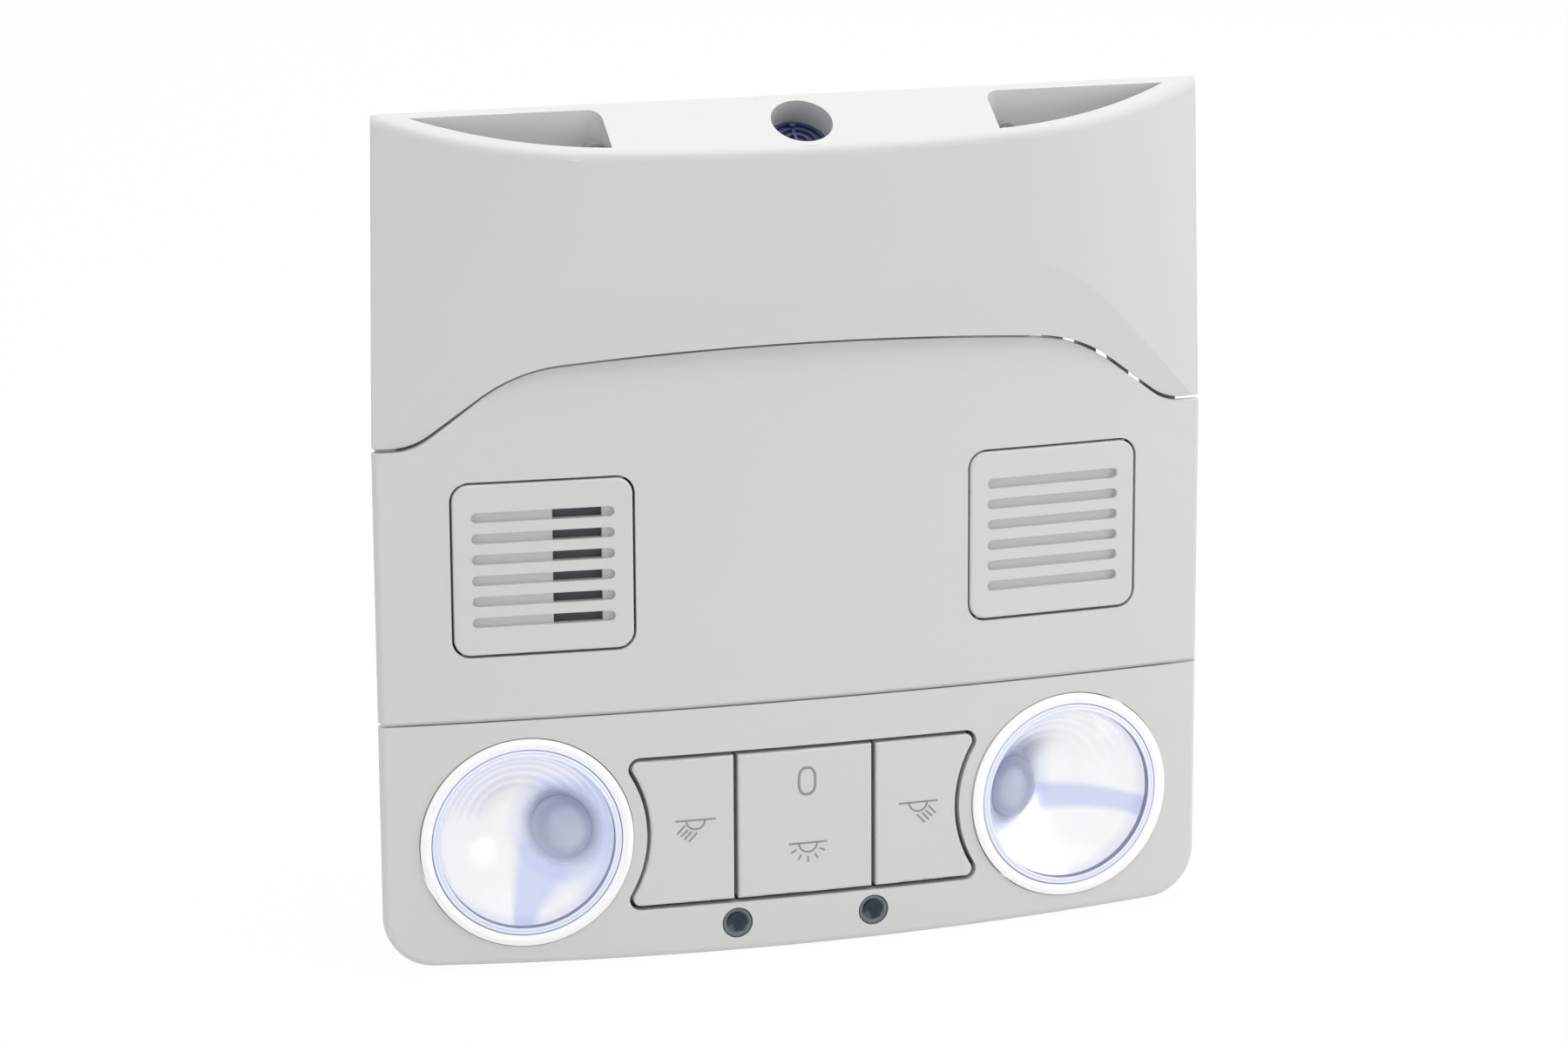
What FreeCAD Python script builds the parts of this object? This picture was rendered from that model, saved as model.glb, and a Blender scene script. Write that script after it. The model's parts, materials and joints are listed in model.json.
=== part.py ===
import FreeCAD, Part
import math
import os

import Sketcher
from FreeCAD import Placement, Rotation, Vector

# Overhead courtesy light of a car roof, in millimetres.
# +X is to the right, +Y goes into the roof, +Z points to the windscreen.
# The origin lies between the two roof screws, on the plane of the roof lining.

DIMENSIONS = {
    "trim_width": (170.0, "width of the three front mouldings"),
    "face_radius": (716.0, "radius of the front faces, about an upright axis"),
    "face_height": (7.5, "how far the front faces stand off the lining, in the middle"),
    "wall": (2.5, "wall of the front mouldings"),
    "shut_gap": (0.8, "gap between neighbouring front mouldings"),
    "edge_round": (1.2, "rounding of the outer front edges"),
    "seam_drop": (30.4, "seam of panel and lamp bezel, below the screws"),
    "bottom_drop": (81.8, "lowest edge, below the screws"),
    "bottom_sag": (1.5, "how much the bottom edge curves"),
    "corner_size": (10.0, "round of the bottom corners"),
    "arch_foot_height": (24.8, "arch of the upper cover: its feet"),
    "arch_foot_inset": (3.5, "flat stretch at each foot"),
    "arch_ramp_foot_half": (74.3, "half width where the ramp starts"),
    "arch_ramp_foot_rise": (2.4, "rise there"),
    "arch_ramp_top_half": (65.2, "half width where the ramp ends"),
    "arch_ramp_top_height": (34.0, "height there"),
    "arch_shoulder_half": (49.1, "half width where the crown starts"),
    "arch_shoulder_height": (40.3, "height there"),
    "arch_crown_sag": (2.0, "rise of the crown above its shoulders"),
    "arch_foot_radius": (12.0, "round at the foot of the ramp"),
    "arch_shoulder_radius": (31.0, "round at the top of the ramp"),
    "cover_top": (89.6, "upper edge of the cover, at the lining"),
    "cover_top_inset": (1.4, "how much narrower the cover is there, on each side"),
    "cover_edge": (0.7, "height of the cover's side edges there"),
    "cover_depth": (14.5, "how far the cover stands off the lining at its rim"),
    "cover_flat_half": (45.0, "half width of the cover's flat middle"),
    "cover_flat_sag": (1.8, "how far the middle curves back by then"),
    "cover_flank_radius": (100.0, "radius of the cover's flanks at the rim"),
    "cover_swell": (1.6, "how far its lower end stands out of the panel's face"),
    "cover_foot_edge": (1.3, "height of its side edges at the lower end"),
    "cover_foot_sag": (0.5, "sag of its flat middle there"),
    "cover_foot_flank_radius": (147.0, "radius of the cover's flanks there"),
    "rim_round": (2.4, "rounding of the rim"),
    "band_slope": (9.1, "slope of the band along the arch, degrees"),
    "end_slope": (32.0, "slope of the end face, degrees"),
    "pocket_inner_half": (39.0, "pockets of the end face: inner end"),
    "pocket_depth": (22.0, "depth below the upper edge"),
    "pocket_front_wall": (1.3, "wall between pocket and front, at the inner end"),
    "pocket_shift": (4.5, "shift to the middle that thickens that wall outwards"),
    "pocket_back_wall": (1.4, "wall between pocket and lining"),
    "pocket_round": (2.5, "round of the inner corners"),
    "port_radius": (6.1, "round opening of the end face"),
    "port_inset": (6.7, "its centre, in front of the lining"),
    "port_depth": (9.0, "its depth"),
    "port_wall": (1.2, "its wall"),
    "sensor_recess": (5.4, "how deep the sensor grille sits in it"),
    "sensor_thickness": (2.4, "thickness of the sensor grille"),
    "sensor_ring_step": (1.3, "distance between its rings"),
    "grille_spacing": (105.0, "distance between the grilles' centres"),
    "grille_width": (35.6, "width of a grille"),
    "grille_height": (34.2, "height of a grille"),
    "grille_corner": (3.3, "corner round of a grille"),
    "grille_plate": (2.2, "thickness of a grille"),
    "grille_gap": (0.5, "gap round a grille"),
    "grille_collar": (1.5, "wall of the collar behind a grille"),
    "slot_length": (28.3, "length of a grille slot"),
    "slot_width": (2.1, "width of a slot"),
    "slot_pitch": (4.2, "distance between slots"),
    "slot_depth": (1.1, "depth of a blind slot"),
    "open_slot_length": (9.8, "stretch of the left slots that is open"),
    "open_slot_shift": (6.9, "its centre, inwards of the grille's centre"),
    "lamp_spacing": (113.3, "distance between the reading lamps"),
    "lamp_drop": (55.8, "lamp centres, below the screws"),
    "ring_radius": (21.26, "outer radius of a lamp ring"),
    "ring_lip": (2.15, "width of its visible lip"),
    "ring_wall": (0.9, "wall of its barrel"),
    "ring_proud": (0.5, "how far it stands out of the face"),
    "ring_lip_depth": (1.3, "thickness of the lip"),
    "ring_depth": (5.0, "depth of the barrel"),
    "lens_flange": (1.8, "thickness of the lens flange"),
    "lens_dome": (1.0, "rise of the lens"),
    "lamp_clearance": (0.2, "play between nested lamp pieces"),
    "bowl_radius": (17.6, "mouth radius of a reflector"),
    "bowl_depth": (12.6, "depth of a reflector's bowl"),
    "bowl_wall": (1.4, "wall of a reflector"),
    "bulb_tilt": (32.0, "tilt of the bulb's axis, degrees"),
    "bulb_port_radius": (7.2, "opening for the bulb holder"),
    "bulb_flare_radius": (9.0, "radius of the opening's flared mouth"),
    "bulb_flare_depth": (3.2, "depth of the flare"),
    "bulb_port_length": (6.0, "length of the port's neck"),
    "bulb_radius": (5.0, "radius of the bulb's glass"),
    "bulb_length": (11.0, "length of the bulb's glass"),
    "holder_flange_radius": (8.9, "radius of the bulb holder's flange"),
    "holder_flange": (2.5, "thickness of the flange"),
    "holder_length": (10.0, "length of the holder behind the flange"),
    "switch_height": (30.8, "height of the switches"),
    "rocker_width": (28.7, "width of the middle rocker"),
    "switch_gap": (0.45, "gap round each switch"),
    "switch_arc_clearance": (3.2, "face between lamp ring and switch"),
    "cap_depth": (9.0, "depth of the switch caps"),
    "cap_wall": (1.4, "wall of the switch caps"),
    "cap_front": (2.0, "front of the switch caps"),
    "cap_tip_round": (1.5, "round of the outer corners of the buttons"),
    "cap_edge_round": (0.5, "rounding of the caps' front edges"),
    "button_travel": (1.6, "travel of the two buttons"),
    "rocker_axis_depth": (5.2, "pivot of the rocker, behind the lining's plane"),
    "rocker_pin_radius": (1.5, "radius of the pivot pins"),
    "rocker_pin_length": (2.0, "length of the pivot pins"),
    "pin_clearance": (0.06, "play of the pivot pins"),
    "led_radius": (2.95, "radius of the lamp windows below the switches"),
    "led_spacing": (28.5, "distance between them"),
    "led_drop": (75.8, "their centres, below the screws"),
    "led_head": (3.4, "length of their heads"),
    "led_stem_radius": (1.9, "radius of the light guides behind them"),
    "led_size": (3.0, "side of the board's lamps"),
    "led_height": (1.2, "height of the board's lamps"),
    "plate_thickness": (2.5, "carrier plate"),
    "plate_half_width": (80.5, "half width of the carrier plate"),
    "plate_low": (78.6, "lower edge of the carrier plate, below the screws"),
    "plate_shoulder": (46.0, "height of the wide stretch of the plate"),
    "harness_first": (51.0, "harness slots in its right shoulder: place of the first"),
    "harness_pitch": (7.0, "their pitch"),
    "harness_width": (3.2, "their width"),
    "harness_height": (17.0, "their height"),
    "harness_inset": (3.5, "their distance from the shoulder's edge"),
    "plate_neck_half": (33.0, "half width of the plate inside the cover"),
    "plate_high": (66.0, "upper edge of the plate"),
    "plate_corner": (5.0, "corner round of the plate"),
    "rim_height": (5.0, "height of the plate's stiffening rim"),
    "rim_wall": (1.8, "wall of that rim"),
    "screw_spacing": (122.0, "distance between the roof screws"),
    "screw_hole_radius": (2.75, "radius of the roof screw holes"),
    "frame_wall": (1.6, "wall of the switch frame"),
    "frame_lip": (1.2, "how far the frame's lip reaches behind the caps"),
    "frame_clearance": (0.5, "play of the switch caps in their frame"),
    "frame_depth": (10.0, "switch frame, behind the lining's plane"),
    "board_thickness": (1.6, "circuit board"),
    "board_half_width": (27.6, "half width of the circuit board"),
    "board_high": (22.0, "upper edge of the circuit board"),
    "board_low": (77.6, "lower edge of the circuit board, below the screws"),
    "tact_size": (6.0, "side of a push switch"),
    "tact_height": (3.4, "height of a push switch"),
    "plunger_radius": (1.6, "radius of its plunger"),
    "hood_height": (22.6, "rear hood, behind the lining's plane"),
    "hood_wall": (1.8, "wall of the rear hood"),
    "hood_margin": (0.5, "space between the board and the hood"),
    "socket_width": (24.0, "width of the connector"),
    "socket_depth": (8.4, "depth of the connector's body"),
    "socket_height": (14.0, "length of the connector"),
    "socket_wall": (1.5, "wall of the connector"),
    "contact_size": (0.7, "thickness of a contact"),
    "contact_pitch": (3.0, "distance between contacts"),
    "contact_count": (6, "contacts in the connector"),
    "boss_radius": (3.2, "radius of the screw bosses"),
    "pilot_radius": (1.1, "radius of the pilot holes in them"),
    "screw_radius": (1.1, "radius of the small screws"),
    "screw_head_radius": (2.4, "radius of their heads"),
    "screw_head": (1.8, "height of their heads"),
    "recess_length": (2.8, "cross recess of the heads"),
    "recess_width": (0.7, "width of its arms"),
    "recess_depth": (1.0, "its depth"),
    "screw_length": (6.0, "length of their shanks"),
    "clip_width": (3.8, "width of a spring clip"),
    "clip_inset": (8.0, "its front edge, in front of the lining"),
    "clip_sheet": (0.6, "sheet of a spring clip"),
    "clip_spread": (3.2, "distance between its legs"),
    "clip_height": (15.0, "height of a spring clip"),
    "microphone_radius": (5.0, "radius of the microphone"),
    "microphone_length": (4.0, "length of the microphone"),
    "seal_thickness": (1.4, "foam ring in front of the microphone"),
}


class Size:
    """A number that remembers the spreadsheet formula it comes from."""

    def __init__(self, value, formula):
        self.value = float(value)
        self.formula = formula

    def __add__(self, other):
        other = size(other)
        return Size(self.value + other.value, f"({self.formula} + {other.formula})")

    def __sub__(self, other):
        other = size(other)
        return Size(self.value - other.value, f"({self.formula} - {other.formula})")

    def __mul__(self, other):
        other = size(other)
        return Size(self.value * other.value, f"({self.formula} * {other.formula})")

    def __truediv__(self, other):
        other = size(other)
        return Size(self.value / other.value, f"({self.formula} / {other.formula})")

    def __radd__(self, other):
        return size(other) + self

    def __rsub__(self, other):
        return size(other) - self

    def __rmul__(self, other):
        return size(other) * self

    def __neg__(self):
        return Size(-self.value, f"(-{self.formula})")


def size(number):
    """Give a plain number the form of a Size."""
    if isinstance(number, Size):
        return number
    return Size(number, f"({number!r})")


def root(number):
    return Size(math.sqrt(number.value), f"sqrt({number.formula})")


def sine(angle):
    return Size(math.sin(math.radians(angle.value)), f"sin({angle.formula})")


def cosine(angle):
    return Size(math.cos(math.radians(angle.value)), f"cos({angle.formula})")


def arc_radius(half_chord, sag):
    """Radius of the arc that rises by sag over a chord."""
    return (half_chord * half_chord + sag * sag) / (2 * sag)


class Sizes:
    """Every driving dimension as an attribute."""


doc = FreeCAD.newDocument("courtesy_light")
sheet = doc.addObject("Spreadsheet::Sheet", "Sizes")
dim = Sizes()
for row, (name, (number, note)) in enumerate(DIMENSIONS.items(), start=1):
    sheet.set(f"A{row}", note)
    sheet.set(f"B{row}", str(number))
    sheet.setAlias(f"B{row}", name)
    setattr(dim, name, Size(number, f"Sizes.{name}"))
doc.recompute()

nodes = {}


def bind(thing, property_name, number):
    """Tie a property to the spreadsheet."""
    thing.setExpression(property_name, size(number).formula)


def new_body(name):
    return doc.addObject("PartDesign::Body", name)


def sketch_on(body, role, offset=0):
    """Empty sketch on a plane of the body's own origin, moved along the plane's normal."""
    plane = [feature for feature in body.Origin.OriginFeatures if feature.Role == role][0]
    sketch = body.newObject("Sketcher::SketchObject", body.Name + "_sketch")
    sketch.AttachmentSupport = [(plane, "")]
    sketch.MapMode = "FlatFace"
    offset = size(offset)
    sketch.AttachmentOffset = Placement(Vector(0, 0, offset.value), Rotation())
    bind(sketch, "AttachmentOffset.Base.z", offset)
    return sketch


def constrain(sketch, kind, places, number):
    index = sketch.addConstraint(Sketcher.Constraint(kind, *places, number.value))
    sketch.setExpression(f"Constraints[{index}]", number.formula)


def pin_point(sketch, geometry, end, x, y):
    constrain(sketch, "DistanceX", (-1, 1, geometry, end), size(x))
    constrain(sketch, "DistanceY", (-1, 1, geometry, end), size(y))


def draw_circle(sketch, x, y, radius):
    x, y, radius = size(x), size(y), size(radius)
    circle = Part.Circle(Vector(x.value, y.value, 0), Vector(0, 0, 1), radius.value)
    index = sketch.addGeometry(circle, False)
    pin_point(sketch, index, 3, x, y)
    constrain(sketch, "Radius", (index,), radius)


def draw_loop(sketch, corners):
    """Closed outline. A corner is (x, y), or (x, y, radius, side) where an arc leads on to the
    next corner, bulging to its left (side 1) or right (side -1)."""
    ends = []
    for number, corner in enumerate(corners):
        following = corners[(number + 1) % len(corners)]
        start = Vector(size(corner[0]).value, size(corner[1]).value, 0)
        stop = Vector(size(following[0]).value, size(following[1]).value, 0)
        if len(corner) == 2:
            index = sketch.addGeometry(Part.LineSegment(start, stop), False)
            ends.append((index, 1, 2))
            continue
        radius, side = size(corner[2]), corner[3]
        chord = stop - start
        left = Vector(-chord.y, chord.x, 0).normalize()
        drop = math.sqrt(radius.value ** 2 - chord.Length ** 2 / 4)
        centre = (start + stop) * 0.5 - left * (side * drop)
        first, last = (stop, start) if side > 0 else (start, stop)
        angles = [math.atan2(point.y - centre.y, point.x - centre.x) for point in (first, last)]
        circle = Part.Circle(centre, Vector(0, 0, 1), radius.value)
        index = sketch.addGeometry(Part.ArcOfCircle(circle, *angles), False)
        ends.append((index, 2, 1) if side > 0 else (index, 1, 2))
        constrain(sketch, "Radius", (index,), radius)
    for number, (index, begin, finish) in enumerate(ends):
        pin_point(sketch, index, begin, corners[number][0], corners[number][1])
        following = ends[(number + 1) % len(ends)]
        sketch.addConstraint(Sketcher.Constraint("Coincident", index, finish, *following[:2]))


def rounded_box(x, y, width, height, radius):
    """Corners of a box with round corners, anticlockwise from its lower left."""
    x, y, width, height, radius = (size(number) for number in (x, y, width, height, radius))
    left, right = x - width / 2, x + width / 2
    low, high = y - height / 2, y + height / 2
    return [
        (left + radius, low), (right - radius, low, radius, -1),
        (right, low + radius), (right, high - radius, radius, -1),
        (right - radius, high), (left + radius, high, radius, -1),
        (left, high - radius), (left, low + radius, radius, -1),
    ]


def box(x, y, width, height):
    x, y, width, height = (size(number) for number in (x, y, width, height))
    left, right = x - width / 2, x + width / 2
    return [(left, y - height / 2), (right, y - height / 2),
            (right, y + height / 2), (left, y + height / 2)]


def prism(name, role, loops, start, length, middle=False):
    """Body padded from one sketch; start and length run along the plane's normal."""
    body = new_body(name)
    sketch = sketch_on(body, role, start)
    for loop in loops:
        if isinstance(loop, tuple):
            draw_circle(sketch, *loop)
        else:
            draw_loop(sketch, loop)
    pad = body.newObject("PartDesign::Pad", name + "_pad")
    pad.Profile = sketch
    bind(pad, "Length", length)
    pad.Midplane = middle
    return body


def from_lining(name, loops, front, back):
    """Prism seen from the front, between two heights measured into the roof."""
    front, back = size(front), size(back)
    return prism(name, "XZ_Plane", loops, -back, back - front)


def turned(name, corners):
    """Solid turned about the Y axis; a corner is (radius, depth)."""
    body = new_body(name)
    sketch = sketch_on(body, "XY_Plane")
    draw_loop(sketch, corners)
    revolution = body.newObject("PartDesign::Revolution", name + "_turn")
    revolution.Profile = sketch
    revolution.ReferenceAxis = (sketch, ["V_Axis"])
    revolution.Angle = 360
    return body


def boolean(kind, name, pieces):
    """Part::Cut, Part::MultiFuse or Part::MultiCommon of the pieces."""
    result = doc.addObject(kind, name)
    if kind == "Part::Cut":
        result.Base, result.Tool = pieces
    else:
        result.Shapes = pieces
    return result


def fused(name, *pieces):
    return boolean("Part::MultiFuse", name, list(pieces))


def cut(name, base, *tools):
    tool = tools[0] if len(tools) == 1 else fused(name + "_tools", *tools)
    return boolean("Part::Cut", name, (base, tool))


def common(name, *pieces):
    return boolean("Part::MultiCommon", name, list(pieces))


def place(thing, x=0, y=0, z=0, turn=None, axis=Vector(0, 0, 1)):
    """Position a piece and turn it about an axis by an angle in degrees."""
    x, y, z = size(x), size(y), size(z)
    turn = size(0 if turn is None else turn)
    thing.Placement = Placement(Vector(x.value, y.value, z.value), Rotation(axis, turn.value))
    for letter, number in zip("xyz", (x, y, z)):
        bind(thing, f"Placement.Base.{letter}", number)
    if turn.value:
        bind(thing, "Placement.Rotation.Angle", turn)
    return thing


def node(name, thing):
    """Name a finished sub-part."""
    thing.Label = name
    nodes[name] = thing
    return thing


def mirrored_name(name, side):
    return f"{name}_{'left' if side < 0 else 'right'}"


half = dim.trim_width / 2
far = dim.trim_width
face_axis = dim.face_radius - dim.face_height


def face_depth(x, inset=0):
    """Y of the front faces' cylinder at a given X, moved in by an inset."""
    radius = dim.face_radius - inset
    return face_axis - root(radius * radius - x * x)


def face_solid(name, inset):
    """Everything behind the front faces' cylinder, moved in by an inset."""
    radius = dim.face_radius - inset
    reach = half + dim.wall
    edge = face_depth(reach, inset)
    corners = [(-reach, far), (-reach, edge, radius, -1), (reach, edge), (reach, far)]
    return prism(name, "XY_Plane", [corners], 0, far * 2, middle=True)


def on_face(thing, x, z, side=1):
    """Seat a piece on the curved face: its origin on the face, its Y axis along the normal."""
    turn_sine = x / dim.face_radius * side
    angle = Size(math.degrees(math.asin(turn_sine.value)), f"asin({turn_sine.formula})")
    return place(thing, x * side, face_depth(x), z, angle)


def arch_line(drop):
    """Corners of the arch between cover and panel, from the right foot to the left."""
    foot_half = half - dim.arch_foot_inset
    foot = dim.arch_foot_height - drop
    crown = arc_radius(dim.arch_shoulder_half, dim.arch_crown_sag)
    ramp_foot = foot + dim.arch_ramp_foot_rise
    ramp_top = dim.arch_ramp_top_height - drop
    shoulder = dim.arch_shoulder_height - drop
    foot_arc, top_arc = dim.arch_foot_radius, dim.arch_shoulder_radius
    return [
        (foot_half, foot, foot_arc, 1), (dim.arch_ramp_foot_half, ramp_foot),
        (dim.arch_ramp_top_half, ramp_top, top_arc, -1), (dim.arch_shoulder_half, shoulder, crown, -1),
        (-dim.arch_shoulder_half, shoulder, top_arc, -1), (-dim.arch_ramp_top_half, ramp_top),
        (-dim.arch_ramp_foot_half, ramp_foot, foot_arc, 1), (-foot_half, foot),
    ]


def cover_section(sketch, inset, top):
    """Plan of the upper cover at its rim (top) or at the feet of the arch."""
    flat = dim.cover_flat_half
    if top:
        edge_x, edge_y = half - dim.cover_top_inset - inset, -dim.cover_edge
        flat_y = dim.cover_flat_sag - dim.cover_depth + inset
        flat_arc = arc_radius(flat, dim.cover_flat_sag)
        flank_arc = dim.cover_flank_radius - inset
    else:
        edge_x, edge_y = half - inset, inset - dim.cover_foot_edge
        flat_y = face_depth(flat) - dim.cover_swell + inset
        flat_arc = arc_radius(flat, dim.cover_foot_sag)
        flank_arc = dim.cover_foot_flank_radius - inset
    back = far / 10
    draw_loop(sketch, [
        (-edge_x, back), (-edge_x, edge_y, flank_arc, -1), (-flat, flat_y, flat_arc, -1),
        (flat, flat_y, flank_arc, -1), (edge_x, edge_y), (edge_x, back),
    ])


def cover_loft(name, inset):
    """Bulging solid of the upper cover, moved in by an inset."""
    body = new_body(name)
    levels = [(dim.arch_foot_height - dim.wall, False), (dim.cover_top, True)]
    sketches = []
    for level, top in levels:
        sketch = sketch_on(body, "XY_Plane", level)
        cover_section(sketch, inset, top)
        sketches.append(sketch)
    loft = body.newObject("PartDesign::AdditiveLoft", name + "_loft")
    loft.Profile = sketches[0]
    loft.Sections = [sketches[1]]
    loft.Ruled = True
    return body


def above_end_face(name, drop):
    """Everything above the sloping end face, moved down by a drop."""
    rise = sine(dim.end_slope) / cosine(dim.end_slope) * far
    level = dim.cover_top - drop
    corners = [(far, level + rise), (far, level + rise + far), (-far, level + rise + far),
               (-far, level - rise)]
    return prism(name, "YZ_Plane", [corners], 0, far * 2, middle=True)


def behind_lining(name):
    return from_lining(name, [box(0, 0, far * 2, far * 4)], 0, far)


def behind_band():
    """Solid behind the band along the arch: the front faces' cylinder, leaning out above the ramps."""
    level = (dim.arch_foot_height + dim.arch_ramp_foot_rise + dim.arch_ramp_top_height) / 2
    return place(face_solid("cover_band", size(0)), 0, 0, level, dim.band_slope, Vector(1, 0, 0))


def rounded(name, base, radius, wanted):
    """Round those edges of a piece whose points pass a test."""
    doc.recompute()
    fillet = doc.addObject("Part::Fillet", name)
    fillet.Base = base
    fillet.Edges = [(number, radius.value, radius.value)
                    for number, edge in enumerate(base.Shape.Edges, start=1)
                    if wanted(edge.discretize(5))]
    return fillet


def round_rim(name, base):
    """Round the front edge of the end face, over the flat middle of the cover."""
    slope = math.tan(math.radians(dim.end_slope.value))

    def on_rim(points):
        ends = max(abs(point.x) for point in points) < dim.cover_flat_half.value + 1
        level = all(abs(point.z - dim.cover_top.value - point.y * slope) < 0.01 for point in points)
        return ends and level and max(point.y for point in points) < -dim.cover_depth.value / 2

    return rounded(name, base, dim.rim_round, on_rim)


def build_upper_cover():
    lining = behind_lining("cover_lining")
    arch = arch_line(size(0))
    below = from_lining("cover_below", [[(far, -far), (far, arch[0][1]), *arch,
                                         (-far, arch[0][1]), (-far, -far)]], -far, far)
    plain = cut("cover_plain", cover_loft("cover_bulge", size(0)), below, lining,
                above_end_face("cover_end", size(0)))
    outer = round_rim("cover_outer", common("cover_banded", plain, behind_band()))
    floor = dim.cover_top - dim.pocket_depth
    pocket_width = half - dim.pocket_inner_half
    blocks, spaces = [], []
    for side in (-1, 1):
        middle = (dim.pocket_inner_half + pocket_width / 2) * side
        tall = dim.pocket_depth * 2
        block = prism(f"pocket_block_{side + 1}", "XY_Plane",
                      [box(middle, 0, pocket_width + dim.wall * 2, far)], floor - dim.wall, tall)
        depth = far - dim.pocket_back_wall
        hole = prism(f"pocket_hole_{side + 1}", "XY_Plane",
                     [rounded_box(middle, -dim.pocket_back_wall - depth / 2, pocket_width, depth,
                                  dim.pocket_round)], floor, tall)
        bulge = cover_loft(f"pocket_bulge_{side + 1}", dim.pocket_front_wall)
        blocks.append(block)
        spaces.append(common(f"pocket_space_{side + 1}", place(bulge, -dim.pocket_shift * side), hole))
    inner = cover_loft("cover_inner", dim.wall)
    hollow = cut("cover_hollow", inner, above_end_face("cover_end_wall", dim.wall * 1.2), *blocks)
    port_level = dim.cover_top - dim.port_inset * sine(dim.end_slope) / cosine(dim.end_slope)
    tilt = Vector(1, 0, 0)
    tube = prism("port_tube", "XY_Plane", [(0, 0, dim.port_radius + dim.port_wall)],
                 -dim.port_depth, dim.port_depth)
    place(tube, 0, -dim.port_inset, port_level, dim.end_slope, tilt)
    bore = prism("port_bore", "XY_Plane", [(0, 0, dim.port_radius)],
                 -dim.port_depth - dim.wall, dim.port_depth + dim.wall * 2)
    place(bore, 0, -dim.port_inset, port_level, dim.end_slope, tilt)
    bosses = [screw_boss(f"cover_boss_{number}", x, z, -dim.cover_depth)
              for number, (x, z) in enumerate(cover_screws())]
    shell = fused("cover_shell", cut("cover_skin", outer, hollow), tube,
                  common("cover_fixings", outer, fused("cover_bosses", *bosses)))
    pilots = [pilot_hole(f"cover_pilot_{number}", x, z)
              for number, (x, z) in enumerate(cover_screws())]
    node("upper_cover", cut("upper_cover", shell, bore, *spaces, *pilots))
    build_sensor_grille(port_level)


def build_sensor_grille(port_level):
    """Round ribbed disc in the end face's opening, with an index pip."""
    radius = dim.port_radius - dim.lamp_clearance / 2
    step = dim.sensor_ring_step
    top = -dim.sensor_recess
    base = prism("sensor_base", "XY_Plane", [(0, 0, radius)], top - dim.sensor_thickness,
                 dim.sensor_thickness - step / 2)
    ridges = []
    for number in range(1, 4):
        outer = radius - step * (number - 1) * 1.2
        ridges.append(prism(f"sensor_ring_{number}", "XY_Plane",
                            [(0, 0, outer), (0, 0, outer - step / 2)], top - step / 2, step / 2))
    for number in range(2):
        spoke = prism(f"sensor_spoke_{number}", "XY_Plane",
                      [box(0, 0, radius * 1.9, step / 2)], top - step / 2, step / 2)
        spoke.Placement = Placement(Vector(), Rotation(Vector(0, 0, 1), 90 * number))
        ridges.append(spoke)
    pip = prism("sensor_pip", "XY_Plane", [(0, radius - step, step / 2)], top - step / 2, step)
    disc = fused("sensor_grille", base, pip, *ridges)
    place(disc, 0, -dim.port_inset, port_level, dim.end_slope, Vector(1, 0, 0))
    node("sensor_grille", disc)


def cover_screws():
    x = dim.plate_neck_half - dim.boss_radius * 2
    return [(x, dim.plate_high - dim.boss_radius * 2), (-x, dim.plate_high - dim.boss_radius * 2)]


def panel_screws():
    x = dim.grille_spacing / 2 - dim.grille_width / 2 - dim.boss_radius * 3
    z = dim.boss_radius - dim.grille_height / 2
    return [(x, z), (-x, z)]


def bezel_screws():
    x = dim.rocker_width
    high = -dim.seam_drop - dim.boss_radius - dim.shut_gap
    low = -dim.bottom_drop + dim.boss_radius + dim.wall
    return [(x, high), (-x, high), (x, low), (-x, low)]


def screw_boss(name, x, z, front):
    """Boss on the back of a moulding, ending at the carrier plate."""
    return from_lining(name, [(x, z, dim.boss_radius)], front, 0)


def pilot_hole(name, x, z):
    return from_lining(name, [(x, z, dim.pilot_radius)], -dim.face_height + dim.wall * 1.4, dim.wall)


def on_front(points):
    """Whether points lie on the cylinder of the front faces."""
    return all(abs(point.y - face_depth(size(point.x)).value) < 0.01 for point in points)


def rounded_sides(name, base):
    """Round the upright outer edges of a moulding."""
    def at_side(points):
        return on_front(points) and min(abs(point.x) for point in points) > half.value - 0.01

    return rounded(name, base, dim.edge_round, at_side)


def rounded_below(name, base, level):
    """Round all front edges of a moulding that reach below a level."""
    def is_below(points):
        return on_front(points) and min(point.z for point in points) < level.value

    return rounded(name, base, dim.edge_round, is_below)


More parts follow.
